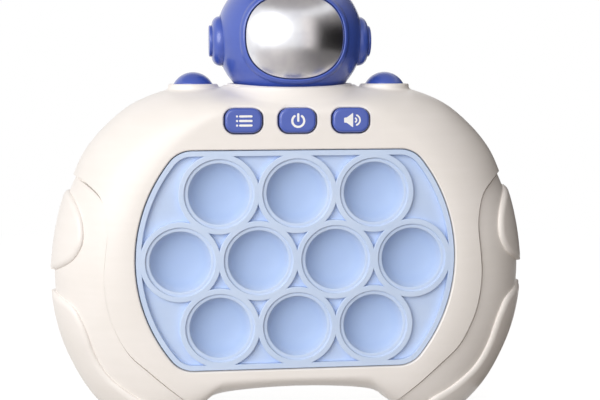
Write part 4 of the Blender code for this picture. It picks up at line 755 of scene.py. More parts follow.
def bay_block(front, wall=0.0):
    """The battery bay's room from a depth back, made larger by a wall."""
    wide, high, middle = BAY_HALF_WIDTH + wall, BAY_HALF_HEIGHT + wall, CENTRE_Z + BAY_Z
    return block((-wide, front, middle - high), (wide, BEYOND, middle + high))


def grille_slots():
    slots = []
    for i in range(SLOT_COUNT):
        rise = (i - (SLOT_COUNT - 1) / 2) * SLOT_PITCH
        half = math.sqrt(CONE_RADIUS ** 2 - rise ** 2) - SLOT_HALF_HEIGHT

        def outline(grow):
            high = SLOT_HALF_HEIGHT + grow
            return rounded_rectangle(half + grow, high, high, 0.0, SPEAKER_Z + rise)
        slots.append(flat_cutter(outline, 0.0, HOLE_LIP, GRILLE_DEPTH))
    return slots


def rear_shell():
    bosses = [rod(BOSS_RADIUS, BOSS_FRONT, BEYOND, x, z) for x, z in CASE_SCREWS]
    room = cut(shell_room(REAR), bay_block(BAY_FLOOR - BAY_WALL, BAY_WALL), *bosses,
               rod(DOOR_BOSS_RADIUS, DOOR_BOSS_FRONT, BEYOND, 0.0, DOOR_SCREW_Z))
    mesh = cut(shell_body(REAR), room, *neck_cutters())
    mesh = cut(mesh, bay_block(BAY_FLOOR), flat_cutter(door_outline, GAP, WELL_LIP, DOOR_FRONT - GAP))
    wells = [sinking_cutter(lambda grow, x=x, z=z: circle(HEAD_RADIUS + grow, x, z),
                            DEPTHS[REAR], GAP, WELL_LIP, SCREW_SEAT) for x, z in CASE_SCREWS]
    shanks = [rod(SCREW_RADIUS + GAP, -OVERRUN, SCREW_SEAT + OVERRUN, x, z) for x, z in CASE_SCREWS]
    leads = [rod(LEAD_HOLE_RADIUS, BAY_FLOOR - BAY_WALL - LEAD_OVERCUT, BAY_FLOOR + LEAD_OVERCUT,
                 side * LEAD_HOLE_X, BAY_Z + side * LEAD_HOLE_RISE) for side in (-1, 1)]
    pilot = rod(SCREW_RADIUS + GAP, *PILOT_DEPTHS, 0.0, DOOR_SCREW_Z)
    return cut(mesh, *wells, *grille_slots(), *shanks, *leads, pilot)


def bubble_panel():
    """Silicone web: a rounded sheet with a rim, a raised disc round each bubble and a flange."""
    angles = round_angles(480, 0.5)

    def sheet(*profile):
        return stacked(lambda grow: panel_outline(grow, angles), profile)
    edge, lip, fillet = WEB_EDGE, WEB_LIP, WEB_FILLET
    web = sheet((0.0, WEB_BACK), *arc((-edge, WEB_TOP + edge), edge, 0, -90))
    flange = sheet((FLANGE_WIDTH, WEB_BACK - FLANGE_THICKNESS), (FLANGE_WIDTH, WEB_BACK))
    pockets = sheet(*arc((-RIM_WIDTH - fillet, POCKET_FLOOR - fillet), fillet, 90, 0),
                    *arc((lip - RIM_WIDTH, WEB_TOP + lip), lip, 180, 180 + LIP_TURN),
                    (lip - RIM_WIDTH, WEB_TOP - OVERRUN))
    disc = [(DISC_RADIUS + fillet, POCKET_FLOOR + POCKET_OVERCUT),
            *arc((DISC_RADIUS + fillet, POCKET_FLOOR - fillet), fillet, 90, 180),
            *arc((DISC_RADIUS - edge, WEB_TOP + edge), edge, 0, -LIP_TURN),
            (DISC_RADIUS - edge, WEB_TOP - 2 * OVERRUN)]
    hole = [(HOLE_RADIUS, WEB_BACK + HOLE_OVERCUT),
            *arc((HOLE_RADIUS + lip, WEB_TOP + lip), lip, 180, 180 + LIP_TURN),
            (HOLE_RADIUS + lip, WEB_TOP - OVERRUN)]
    discs, holes = [[turned_at(x, z, profile, BUBBLE_SIDES) for x, z in bubble_spots()]
                    for profile in (disc, hole)]
    return cut(fused(web, flange), cut(pockets, *discs), *holes)


def bubble(x, z):
    """Dished bubble with its flat shelf and the plunger behind it."""
    profile = [(0.0, DISH_DEPTH)]
    for share in np.sin(np.linspace(0.0, math.pi / 2, DISH_ROWS))[1:-3]:
        profile.append((DISH_RADIUS * share, DISH_DEPTH * math.sqrt(1 - share ** DISH_POWER)))
    last = profile[-1][1]
    profile += [(DISH_RADIUS + out, last * share) for out, share in DISH_LIP_shares]
    profile += arc((BUBBLE_RADIUS - SHELF_EDGE, SHELF_EDGE), SHELF_EDGE, -90, 0)
    return turned_at(x, z, [*profile, (BUBBLE_RADIUS, SHELF_SIDE), *PLUNGER], BUBBLE_SIDES, SHELF_TOP)


def skirt(x, z):
    """Thin silicone web between a bubble and its hole, built at rest; the real one stretches as the bubble is
    pressed, which this mesh doesn't follow.
    """
    still, moving = SKIRT_STRETCH
    outer, inner = HOLE_RADIUS + SKIRT_ROOT, BUBBLE_RADIUS - SKIRT_ROOT
    profile = [(outer, still), (outer, still - SKIRT_OUTER_THICKNESS), (HOLE_RADIUS, still - SKIRT_ROOT)]
    profile += [(HOLE_RADIUS - GAP * share, still + (moving - still) * share) for share in SKIRT_shares]
    profile += [(BUBBLE_RADIUS, moving), *[(inner, moving + back) for back in SKIRT_INNER]]
    return lattice([placed(circle(radius, x, z, SEAT_SIDES), y) for radius, y in profile], ring=True)


def key_solid(x):
    """Face key with a soft edge, on its flange and stem."""
    face = DEPTHS[FRONT] - KEY_PROUD
    front, back = KEY_FLANGE_DEPTHS
    profile = [(-KEY_MIDDLE, face), (-KEY_EDGE - KEY_BORDER, face),
               *arc((-KEY_EDGE, face + KEY_EDGE), KEY_EDGE, -90, 0, KEY_EDGE_STEPS),
               (0.0, front), (KEY_FLANGE, front), (KEY_FLANGE, back)]
    return fused(stacked(lambda grow: key_outline(x, grow), profile),
                 rod(KEY_STEM_RADIUS, *KEY_STEM_DEPTHS, x, KEY_Z))


def shoulder_button(x):
    """Domed button with its flange, flat towards the circuit board, and its stem."""
    dome = (SHOULDER_RADIUS ** 2 + SHOULDER_HEIGHT ** 2) / (2 * SHOULDER_HEIGHT)
    spread = math.asin(SHOULDER_RADIUS / dome)
    profile = [(dome * math.sin(a), SHOULDER_HEIGHT - dome * (1 - math.cos(a)))
               for a in np.linspace(0.0, spread, SHOULDER_ROWS)]
    top, flange = UNDER_WALL_Z - COLLAR_Z, SHOULDER_RADIUS + SHOULDER_FLANGE
    under, foot = top - SHOULDER_FLANGE_THICKNESS, top - SHOULDER_STEM_LENGTH
    profile += [(SHOULDER_RADIUS, top), (flange, top), (flange, under), (SHOULDER_STEM_RADIUS, under),
                (SHOULDER_STEM_RADIUS, foot), (0.0, foot)]
    mesh = turned(profile, BUTTON_SIDES, "Z", (x, 0.0, COLLAR_Z))
    low, high = FLAT_OVERCUTS
    return cut(mesh, block((x - FLAT_CUT, -FLAT_CUT, COLLAR_Z + under - low),
                           (x + FLAT_CUT, BOARD_SIDE_FLAT, COLLAR_Z + top + high)))


VISOR_HALF = np.array([16.0, 13.6])
VISOR_POWER, VISOR_SEAT, VISOR_CROWN = 2.35, 2.4, 0.5
SEAT_shares, PLAIN_FACE_shares = (0.5, 0.98), (0.3, 0.65)
VISOR_BACK_shares = [(1.0, -0.4), (1.0, -1.4), (0.55, -1.4)]
VISOR_ROWS, VISOR_BUNCHING = 28, 1.4
BEZEL_WIDTH, BEZEL_RISE, BEZEL_POWER, BEZEL_FOOT, BEZEL_TURN, BEZEL_STEPS = 1.6, 0.8, 0.8, 0.2, 172, 16
HELMET_COLUMNS, HELMET_ROWS = 240, 34
HELMET_LIP_INSET, HELMET_LIP_RISE, STUB_LIP_HALF, STUB_LIP_DROP = 1.2, 0.6, 8.4, 1.0
POD_RADIUS, POD_BOSS_RADIUS, POD_SEAT, POD_REACH = 8.2, 5.2, 21.8, 25.9
POD_CAP_RADIUS, POD_CAP_RISE, POD_CAP_EDGE, POD_SHOULDER = 5.2, 1.0, 0.5, 2.8
POD_BOSS_LENGTH, POD_BOSS_ROOM, POD_OVERCUT = 1.8, 2.4, 2.0
POD_GROOVE = [(0.25, 0.0), (0.1, -0.3), (0.0, -0.3)]
POD_PLACE = (0.0, 0.0, HELMET_Z - 1.0)


def superellipse(half, grow=0.0):
    angles = round_angles(HELMET_COLUMNS, 0.5)
    across, up = np.cos(angles), np.sin(angles)
    return np.stack([(half[0] + grow) * np.sign(across) * np.abs(across) ** (2 / VISOR_POWER),
                     (half[1] + grow) * np.sign(up) * np.abs(up) ** (2 / VISOR_POWER)], axis=-1)


def helmet_outline(inset=0.0):
    """The helmet's outline at the parting plane, as spots from its middle."""
    angles = round_angles(HELMET_COLUMNS, 0.5)
    return (HELMET_HALF[[0, 2]] - inset) * np.stack([np.cos(angles), np.sin(angles)], axis=-1)


def on_helmet(spots, proud=0.0):
    """Spots from the helmet's middle on its front, proud of its surface along the view."""
    inside = 1 - (spots[:, 0] / HELMET_HALF[0]) ** 2 - (spots[:, 1] / HELMET_HALF[2]) ** 2
    back = -HELMET_HALF[1] * np.sqrt(np.maximum(inside, 0.0)) - proud
    return np.stack([spots[:, 0], back, HELMET_Z + spots[:, 1]], axis=-1)


def helmet_lips():
    """Lips inside the front half, which close the seam of the helmet and of its stub."""
    foot, low = HELMET_FOOT_Z + HELMET_LIP_RISE - CENTRE_Z, UNDER_WALL_Z - STUB_LIP_DROP - CENTRE_Z
    lip = helmet_outline(HELMET_LIP_INSET) + np.array([0.0, HELMET_Z - CENTRE_Z])
    lip[:, 1] = np.maximum(lip[:, 1], foot)
    wide = STUB_LIP_HALF
    stub_lip = [(-wide, low), (wide, low), (wide, foot), (-wide, foot)]
    return [prism(outline, *SEAM_DEPTHS) for outline in (lip, stub_lip)]


def helmet_half(side):
    """Half of the helmet; the front one has the bezel, the seat of the visor and the seam's lips."""
    start = superellipse(VISOR_HALF)
    if side == FRONT:
        rows = [on_helmet(start * share, -VISOR_SEAT) for share in SEAT_shares]
        for a in np.radians(np.linspace(0, BEZEL_TURN, BEZEL_STEPS)):
            bezel = superellipse(VISOR_HALF, BEZEL_WIDTH / 2 * (1 - math.cos(a)))
            rows.append(on_helmet(bezel, BEZEL_RISE * math.sin(a) ** BEZEL_POWER))
        start = superellipse(VISOR_HALF, BEZEL_WIDTH + BEZEL_FOOT)
    else:
        rows = [on_helmet(start * share) for share in PLAIN_FACE_shares]
    rim = helmet_outline()
    rows += [on_helmet(start + (rim - start) * share) for share in bunched(HELMET_ROWS, 2)]
    rows[-1][:, 1] = 0.0
    rows.append(rows[-1] + np.array([0.0, OVERRUN, 0.0]))
    mesh = cut(lattice([row * np.array([1.0, -side, 1.0]) for row in rows]), below(HELMET_FOOT_Z))
    flange = STUB_RADIUS + STUB_FLANGE
    stub = turned([(STUB_RADIUS, HELMET_FOOT_Z + STUB_OVERLAP), (STUB_RADIUS, UNDER_WALL_Z),
                   (flange, UNDER_WALL_Z), (flange, UNDER_WALL_Z - STUB_FLANGE_THICKNESS)], STUB_SIDES, "Z")
    bore = cylinder(STUB_BORE_RADIUS, UNDER_WALL_Z - STUB_OVERCUT, HELMET_FOOT_Z + STUB_BORE_RISE,
                    STUB_SIDES, "Z")
    bores = [(POD_RADIUS, POD_SEAT - GAP, HELMET_HALF[0] + POD_OVERCUT, SEAT_SIDES),
             (POD_BOSS_RADIUS, POD_SEAT - POD_BOSS_ROOM, HELMET_HALF[0], ROD_SIDES)]
    sockets = [cylinder(radius + GAP, x * near, x * far, sides, "X", POD_PLACE)
               for radius, near, far, sides in bores for x in (-1, 1)]
    mesh = cut(fused(mesh, stub), half_space(-side), bore, *sockets)
    return joined(mesh, *helmet_lips()) if side == FRONT else mesh


def visor():
    outline = superellipse(VISOR_HALF - GAP)
    rows = [on_helmet(outline * share, VISOR_CROWN * (1 - share ** 2))
            for share in bunched(VISOR_ROWS, VISOR_BUNCHING, MIDDLE_SHARE)]
    return lattice(rows + [on_helmet(outline * share, proud) for share, proud in VISOR_BACK_shares])


def ear_pod(side):
    foot = POD_SEAT - POD_BOSS_LENGTH
    profile = [(0.0, foot), (POD_BOSS_RADIUS, foot), (POD_BOSS_RADIUS, POD_SEAT), (POD_RADIUS, POD_SEAT)]
    profile += arc((POD_RADIUS - POD_SHOULDER, POD_REACH - POD_SHOULDER), POD_SHOULDER, 0, 90, 12)
    profile += [(POD_CAP_RADIUS + out, POD_REACH + up) for out, up in POD_GROOVE]
    top = POD_REACH + POD_CAP_RISE
    profile += [*arc((POD_CAP_RADIUS - POD_CAP_EDGE, top - POD_CAP_EDGE), POD_CAP_EDGE, 0, 90), (0.0, top)]
    return turned([(radius, side * along) for radius, along in profile], BUTTON_SIDES, "X", POD_PLACE)


def battery_door():
    mesh = stacked(door_outline, [(0.0, DOOR_FRONT),
                                  *arc((-DOOR_EDGE, DEPTHS[REAR] - DOOR_EDGE), DOOR_EDGE, 0, 90)])
    ribs = [block(*[np.add(corner, (0.0, DOOR_FRONT, CENTRE_Z + BAY_Z + z))
                    for corner in (DOOR_RIB_LOW, DOOR_RIB_HIGH)]) for z in DOOR_RIBS_Z]
    bore = rod(SCREW_RADIUS + GAP, DOOR_FRONT - DOOR_OVERCUT, PILOT_DEPTHS[1], 0.0, DOOR_SCREW_Z)
    well = flat_cutter(lambda grow: circle(HEAD_RADIUS + grow, 0.0, DOOR_SCREW_Z),
                       GAP, HOLE_LIP, DOOR_FRONT + DOOR_HEAD_SEAT)
    return cut(fused(mesh, *ribs), bore, well)


def screw(x, z, seat, length):
    profile = [(0.0, HEAD_HEIGHT)]
    profile += [(CROWN_RADIUS * share, HEAD_HEIGHT - CROWN_DROP * share ** 2) for share in CROWN_shares]
    profile += [*HEAD_SIDE, (SCREW_RADIUS, 0.0), (SCREW_RADIUS, SCREW_RADIUS - length), (0.0, -length)]
    mesh = turned_at(x, z, profile, ROD_SIDES, seat)
    half, arm = CROSS_HALF, CROSS_ARM
    corners, cross = [(arm, -half), (arm, half), (half, half)], []
    for _ in range(4):
        cross += corners
        corners = [(-b, a) for a, b in corners]
    return cut(mesh, prism(np.array(cross) + np.array([x, z]), *[seat + depth for depth in CROSS_DEPTHS]))


class Wire:
    """Output of a node. A sum with it adds the Math node that works it out."""

    def __init__(self, graph, socket):
        self.graph, self.socket = graph, socket

    def __add__(self, other):
        return self.graph.math("ADD", self, other)

    def __sub__(self, other):
        return self.graph.math("SUBTRACT", self, other)

    def __rsub__(self, other):
        return self.graph.math("SUBTRACT", other, self)

    def __mul__(self, other):
        return self.graph.math("MULTIPLY", self, other)

    def __pow__(self, other):
        return self.graph.math("POWER", self, other)

    __radd__ = __add__
    __rmul__ = __mul__


EVEN = (1.0, 1.0, 1.0)


class Graph:
    """Nodes of a finish or of the world."""

    def __init__(self, owner):
        self.owner = owner
        owner.use_nodes = True
        self.tree = owner.node_tree
        self.tree.nodes.clear()

    def node(self, kind, settings, sockets, output=0):
        made = self.tree.nodes.new("ShaderNode" + kind)
        for name, value in settings.items():
            setattr(made, name, value)
        for name, value in sockets.items():
            if isinstance(value, Wire):
                self.tree.links.new(value.socket, made.inputs[name])
            else:
                made.inputs[name].default_value = value
        return Wire(self, made.outputs[output]) if made.outputs else made

    def math(self, operation, *values):
        return self.node("Math", {"operation": operation}, dict(enumerate(values)))

    def mixed(self, share, first, second):
        """Colour between two colours."""
        return self.node("Mix", {"data_type": "RGBA"}, {0: share, 6: first, 7: second}, 2)

    def between(self, value, low, high):
        """0 below low, 1 above high and smooth between."""
        return self.node("MapRange", {"interpolation_type": "SMOOTHSTEP"},
                         {"Value": value, "From Min": low, "From Max": high})

    def place(self, stretch=EVEN):
        """Place on the object in metres, stretched along its axes."""
        spot = self.node("TexCoord", {}, {}, "Object")
        return self.node("VectorMath", {"operation": "MULTIPLY"}, {0: spot, 1: stretch})

    def noise(self, place, scale, detail=2.0):
        return self.node("TexNoise", {}, {"Vector": place, "Scale": scale, "Detail": detail})

    def surface(self, colour, roughness, relief, depth, settings, metallic=0.0):
        """The material, with a relief of a depth in millimetres."""
        normal = self.node("Bump", {}, {"Strength": 1.0, "Distance": depth * MM, "Height": relief})
        sockets = {"Base Color": colour, "Roughness": roughness, "Metallic": metallic, "Normal": normal}
        shader = self.node("BsdfPrincipled", {}, {**sockets, **settings})
        self.node("OutputMaterial", {}, {"Surface": shader})
        return self.owner


def linear(text):
    """Linear colour of a written one."""
    parts = [int(text[i:i + 2], 16) / 255 for i in (1, 3, 5)]
    return (*(part / 12.92 if part <= 0.04045 else ((part + 0.055) / 1.055) ** 2.4 for part in parts), 1.0)


def new_finish(name):
    return Graph(bpy.data.materials.new(name))


def moulded(name, colours, roughness, uneven, grain, depth, settings, painted_shade_colour=None):
    """Moulded plastic or rubber: uneven colour and gloss, faint flow lines and a fine grain. A last colour, if
    given, is painted shade: the colour goes over to it the further back the surface lies, so hollows look
    shaded.
    """
    graph = new_finish(name)
    clouds = graph.noise(graph.place(), 45.0, 3.0)
    flow = graph.noise(graph.place((1.0, 1.0, 7.0)), 60.0, 4.0)
    fine = graph.noise(graph.place(), grain, 2.0)
    handled = graph.noise(graph.place((9.0, 1.0, 1.0)), 260.0, 3.0) ** 4.0
    colour = graph.mixed(graph.between(clouds * 0.7 + flow * 0.3, 0.32, 0.68), *map(linear, colours))
    # Painted shade: further back, the colour turns to the darker blue, so the pockets and the bubbles' dishes
    # look shaded
    if painted_shade_colour:
        y = graph.node("SeparateXYZ", {}, {0: graph.place()}, 1)
        colour = graph.mixed(graph.between(y, *[limit * MM for limit in PAINTED_SHADE_DEPTHS]), colour, linear(painted_shade_colour))
    gloss = roughness + (clouds - 0.5) * uneven + (fine - 0.5) * uneven + handled * uneven
    return graph.surface(colour, gloss, fine + flow * 0.4, depth, settings)


def grained(name, colours, limits, tint, grain, gloss, uneven, tint_share, depth, settings, metallic):
    """Finish whose colour follows one noise, and whose gloss and relief follow another; each noise is
    (stretch, scale, detail), and the relief also takes a share of the first."""
    graph = new_finish(name)
    first, second = [graph.noise(graph.place(stretch), scale, detail)
                     for stretch, scale, detail in (tint, grain)]
    colour = graph.mixed(graph.between(first, *limits), *map(linear, colours))
    relief = second + first * tint_share if tint_share else second
    return graph.surface(colour, gloss + (second - 0.5) * uneven, relief, depth, settings, metallic)


def metal(name, colours, gloss, uneven, stretch, scale, depth):
    """Plated or brushed metal: streaks in its gloss and a faint change of tint."""
    return grained(name, colours, (0.35, 0.65), (EVEN, 180.0, 2.0), (stretch, scale, 5.0), gloss, uneven,
                   0.0, depth, {}, 1.0)


def paper():
    """Pressed paper of the speaker's cone, with fibres."""
    return grained("paper_cone", ("#232326", "#45454A"), (0.3, 0.7), ((3.0, 1.0, 1.0), 900.0, 6.0),
                   (EVEN, 300.0, 3.0), 0.85, 0.2, 1.0, 0.08, {"Specular IOR Level": 0.3}, 0.0)


def jacket(name, colours):
    """Shrunk film of a cell, glossy, with fine wrinkles round its ends."""
    return grained(name, colours, (0.3, 0.7), (EVEN, 2200.0, 1.0), ((1.0, 4.0, 4.0), 90.0, 4.0), 0.26, 0.2,
                   0.1, 0.05, {"Coat Weight": 0.5}, 0.25)


def printed_board():
    """Solder mask with tracks, and tinned pads."""
    graph = new_finish("green_board")
    place = graph.place((1.0, 0.0, 1.0))
    track = graph.node("TexVoronoi", {"feature": "DISTANCE_TO_EDGE"}, {"Vector": place, "Scale": 210.0})
    spots = graph.node("TexVoronoi", {"distance": "CHEBYCHEV"}, {"Vector": place, "Scale": 330.0})
    mask = graph.between(track, 0.03, 0.05)
    pad = 1.0 - graph.between(spots, 0.1, 0.12)
    green = graph.mixed(mask, linear("#3F8F55"), linear("#1E5E36"))
    colour = graph.mixed(pad, green, linear("#C9CBC6"))
    weave = graph.noise(graph.place(), 1500.0)
    relief = mask * -0.6 + pad + weave * 0.2
    return graph.surface(colour, 0.34 + pad * 0.1 + (weave - 0.5) * 0.1, relief, 0.04, {}, pad)


SOFT = {"Subsurface Weight": 0.08, "Subsurface Radius": (1.0, 1.0, 1.0), "Subsurface Scale": 0.0015,
        "Specular IOR Level": 0.35}
# Depths in millimetres over which the silicone's painted shade grows, from the web's face back into the dishes
PAINTED_SHADE_DEPTHS = (-21.3, -17.6)
cream = moulded("cream_plastic", ("#F4EFEA", "#F8F3EF"), 0.36, 0.1, 1900.0, 0.012, {})
# The silicone's last colour is painted shade for its pockets and dishes
silicone = moulded("blue_silicone", ("#C9DBF8", "#D1E1FB"), 0.55, 0.12, 1500.0, 0.015, SOFT, "#B0C7EE")
blue = moulded("royal_blue_plastic", ("#3C56B2", "#425DBC"), 0.36, 0.08, 900.0, 0.004,
               {"Coat Weight": 0.85, "Coat Roughness": 0.2})
white = moulded("white_print", ("#F4F4F4", "#FFFFFF"), 0.4, 0.1, 2600.0, 0.01, {})
black = moulded("black_plastic", ("#151517", "#202024"), 0.45, 0.14, 1400.0, 0.02, {})
red_lead = moulded("red_insulation", ("#9E1F1A", "#B32A22"), 0.38, 0.1, 800.0, 0.01, {})
black_lead = moulded("black_insulation", ("#161616", "#222222"), 0.38, 0.1, 800.0, 0.01, {})
chrome = metal("satin_chrome", ("#DCDCE2", "#E6E6EA"), 0.25, 0.05, (1.0, 1.0, 12.0), 700.0, 0.0015)
steel = metal("zinc_plated_steel", ("#B9BCC4", "#CFCDC6"), 0.3, 0.22, (6.0, 1.0, 1.0), 900.0, 0.006)
board, cone = printed_board(), paper()
jacket_dark = jacket("cell_jacket_dark", ("#262A31", "#30353D"))
jacket_pale = jacket("cell_jacket_pale", ("#B9BEC6", "#D0D4DA"))

SMOOTH_ANGLE = math.radians(32)


def marked(mesh, number):
    """The mesh with all its faces in one of its piece's finishes."""
    for face in mesh.polygons:
        face.material_index = number
    return mesh


def add_piece(name, mesh, finishes, body, slot, *nodes):
    for finish in finishes:
        mesh.materials.append(finish)
    mesh.shade_smooth()
    mesh.set_sharp_from_angle(angle=SMOOTH_ANGLE)
    piece = bpy.data.objects.new(name, mesh)
    bpy.context.scene.collection.objects.link(piece)
    weighted = piece.modifiers.new("normals", "WEIGHTED_NORMAL")
    weighted.keep_sharp = True
    if body:
        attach(piece, body)
    if nodes:
        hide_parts(*nodes)
    return piece


# Symbols on the face keys
SYMBOL_PROUD, SYMBOL_SUNK = 0.03, 0.3
LIST_ROWS, LIST_DOT, LIST_DOT_X, LIST_BAR, LIST_BAR_X = (1.38, -0.06, -1.5), 0.34, -2.1, 0.35, (-1.1, 2.45)
POWER_X, POWER_RING_Z, POWER_RING, POWER_OPENING = 0.15, -0.13, 1.9, 38.0
POWER_STROKE, POWER_BAR = 0.7, (-0.1, 1.95)
SOUND_BODY = [(-2.3, 0.8), (-1.5, 0.8), (0.6, 2.35), (0.6, -2.35), (-1.5, -0.8), (-2.3, -0.8)]
SOUND_EASE, SOUND_WAVES = 0.28, [(1.0, 0.7, 58.0, 0.5), (1.15, 1.65, 68.0, 0.55)]


def stroke(path, width):
    """Outline of a line of even width with round ends."""
    path = np.array(path, float)
    along = np.gradient(path, axis=0)
    along *= width / 2 / np.linalg.norm(along, axis=1, keepdims=True)
    side = np.stack([-along[:, 1], along[:, 0]], axis=-1)
    turn = np.linspace(0.0, math.pi, 9)[1:-1, None]
    end = path[-1] + side[-1] * np.cos(turn) + along[-1] * np.sin(turn)
    start = path[0] - side[0] * np.cos(turn) - along[0] * np.sin(turn)
    return np.concatenate([path + side, end, (path - side)[::-1], start])


def eased(corners, reach, steps=5):
    """Outline with its corners rounded."""
    corners = np.array(corners, float)
    spots = []
    for before, corner, after in zip(np.roll(corners, 1, axis=0), corners, np.roll(corners, -1, axis=0)):
        start = corner + (before - corner) * reach / np.linalg.norm(before - corner)
        end = corner + (after - corner) * reach / np.linalg.norm(after - corner)
        for t in np.linspace(0.0, 1.0, steps):
            spots.append(start * (1 - t) ** 2 + corner * 2 * t * (1 - t) + end * t * t)
    return np.array(spots)


def symbol(name):
    """Outlines of a key's symbol round the key's middle."""
    if name == "menu_key":
        bars = [stroke([(x, z) for x in LIST_BAR_X], 2 * LIST_BAR) for z in LIST_ROWS]
        return bars + [circle(LIST_DOT, LIST_DOT_X, z, 24) for z in LIST_ROWS]
    if name == "power_key":
        ring = arc((POWER_X, POWER_RING_Z), POWER_RING, 90 + POWER_OPENING, 450 - POWER_OPENING, 48)
        return [stroke(ring, POWER_STROKE), stroke([(POWER_X, z) for z in POWER_BAR], POWER_STROKE)]
    waves = [stroke(arc((x, 0.0), radius, -half, half, 16), width) for x, radius, half, width in SOUND_WAVES]
    return [eased(SOUND_BODY, SOUND_EASE), *waves]


# Cells and their contacts
CELL_RADIUS, CELL_LENGTH, CELL_PITCH, CELL_Y, CELL_SIDES = 7.15, 49.2, 15.2, 13.35, 72
CELL_FLAT_END = [(0.0, 0.1), (2.6, 0.1), (2.9, 0.25), (5.2, 0.25), (5.5, 0.05), (6.1, 0.05), (6.2, 0.2),
                 (6.35, 0.05), (6.8, 0.0), (7.05, 0.1), (7.15, 0.35)]
CELL_NUB_END = [(7.15, -1.3), (7.0, -1.0), (7.0, -0.6), (7.15, -0.35), (7.0, -0.08), (6.7, 0.0), (6.3, -0.05),
                (6.2, -0.25), (3.3, -0.25), (3.2, -0.1), (2.7, -0.05), (2.7, 0.95), (2.6, 1.2), (2.35, 1.3),
                (0.0, 1.3)]
CELL_END_X, CONTACT_X, CONTACT_HALF, CONTACT_THICKNESS = 22.45, 28.7, 5.5, 0.5
SPRING_RADII, SPRING_LENGTH, SPRING_WIRE, SPRING_TURNS, SPRING_POINTS = (3.85, 2.1), 5.2, 0.35, 4.5, 200
CELL_BAND_SHARE, CELL_METAL_RADIUS, CELL_RING_RADIUS, CELL_FILM_END = 0.3, 3.25, 6.25, 0.4


def cell(side, z):
    """Cell with its film rolled over the ends, insulating ring and nub, the nub towards side."""
    band = CELL_LENGTH * (1 - CELL_BAND_SHARE)
    profile = [*CELL_FLAT_END, (CELL_RADIUS, band)]
    profile += [(radius, CELL_LENGTH + along) for radius, along in CELL_NUB_END]
    profile = [(radius, side * (along - CELL_END_X)) for radius, along in profile]
    mesh = turned(profile, CELL_SIDES, "X", (0.0, CELL_Y, z))
    for face in mesh.polygons:
        along = side * face.center.x / MM + CELL_END_X
        out = math.hypot(face.center.y / MM - CELL_Y, face.center.z / MM - z)
        if CELL_FILM_END < along < CELL_LENGTH - CELL_FILM_END or out > CELL_RING_RADIUS:
            face.material_index = 1 if along > band else 0
        else:
            face.material_index = 2 if out < CELL_METAL_RADIUS or along < CELL_LENGTH / 2 else 3
    return mesh


def coil_contact(side, z):
    """Spring of tapering wire on its plate, against the cell's flat end; side is where the plate is."""
    wall, half = side * CONTACT_X, CONTACT_HALF
    share = np.linspace(0.0, 1.0, SPRING_POINTS)
    angle = share * SPRING_TURNS * math.tau
    radius = SPRING_RADII[0] + (SPRING_RADII[1] - SPRING_RADII[0]) * share
    along = CONTACT_THICKNESS + SPRING_WIRE + (SPRING_LENGTH - 2 * SPRING_WIRE) * share
    away = np.stack([angle * 0, np.cos(angle), np.sin(angle)], axis=-1)
    middle = np.stack([wall - side * along, CELL_Y + angle * 0, z + angle * 0], axis=-1)
    path = middle + away * radius[:, None]
    ring = round_angles(10)[:, None]
    rows = [point + SPRING_WIRE * (np.cos(ring) * out + np.sin(ring) * np.array([1.0, 0.0, 0.0]))
            for point, out in zip(path, away)]
    low, high = sorted((wall, wall - side * CONTACT_THICKNESS))
    plate = block((low, CELL_Y - half, z - half), (high, CELL_Y + half, z + half))
    return joined(plate, lattice(rows))


def add_pieces():
    plastic, rubber, gloss = "cream_plastic", "blue_silicone", "royal_blue_plastic"
    plated = "zinc_plated_steel"
    add_piece("casing_front", front_shell(), [cream], "console", plastic, "front_shell")
    add_piece("casing_rear", rear_shell(), [cream], "console", plastic, "rear_shell")
    add_piece("web", bubble_panel(), [silicone], "console", rubber, "bubble_panel")
    for number, (x, z) in enumerate(bubble_spots(), 1):
        body = f"bubble_{number:02d}"
        add_piece(f"dished_{body}", bubble(x, z), [silicone], body, rubber, body)
        ring = add_piece(f"bubble_skirt_{number:02d}", skirt(x, z), [silicone], None, rubber)
        [(x * MM, y * MM, (z + CENTRE_Z) * MM) for y in SKIRT_STRETCH]
        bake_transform(ring)
    for x, name in zip(KEY_X, ("menu_key", "power_key", "sound_key")):
        face = DEPTHS[FRONT] - KEY_PROUD
        marks = [marked(prism(outline + np.array([x, KEY_Z]), face - SYMBOL_PROUD, face + SYMBOL_SUNK), 1)
                 for outline in symbol(name)]
        add_piece(f"{name}_cap", joined(key_solid(x), *marks), [blue, white], name, gloss, name)
    for name, x in SHOULDERS.items():
        body = f"{name}_shoulder_button"
        add_piece(f"{name}_shoulder_dome", shoulder_button(x), [blue], body, gloss, body)
    add_piece("helmet_shell_front", helmet_half(FRONT), [blue], "console", gloss, "helmet_front")
    add_piece("helmet_shell_rear", helmet_half(REAR), [blue], "console", gloss, "helmet_rear")
    add_piece("visor_mirror", visor(), [chrome], "console", "satin_chrome", "visor")
    for name, side in (("left", -1), ("right", 1)):
        add_piece(f"{name}_pod", ear_pod(side), [blue], "console", gloss, f"{name}_ear_pod")
    add_piece("bay_door", battery_door(), [cream], "battery_door", plastic, "battery_door")
    for number, (x, z) in enumerate(CASE_SCREWS, 1):
        add_piece(f"casing_screw_{number}", screw(x, z, SCREW_SEAT + GAP, CASE_SCREW_LENGTH), [steel],
                  "console", plated, f"case_screw_{number}")
    add_piece("door_screw", screw(0.0, DOOR_SCREW_Z, *DOOR_SCREW), [steel], "battery_door", plated,
              "battery_door_screw")
    for number, side in enumerate((1, -1, 1), 1):
        z = CENTRE_Z + BAY_Z + (2 - number) * CELL_PITCH
        add_piece(f"cell_{number}", cell(side, z), [jacket_dark, jacket_pale, steel, white],
                  "console", "cell_jacket", f"battery_cell_{number}")
        add_piece(f"coil_contact_{number}", coil_contact(-side, z), [steel], "console", plated,
                  f"spring_contact_{number}")


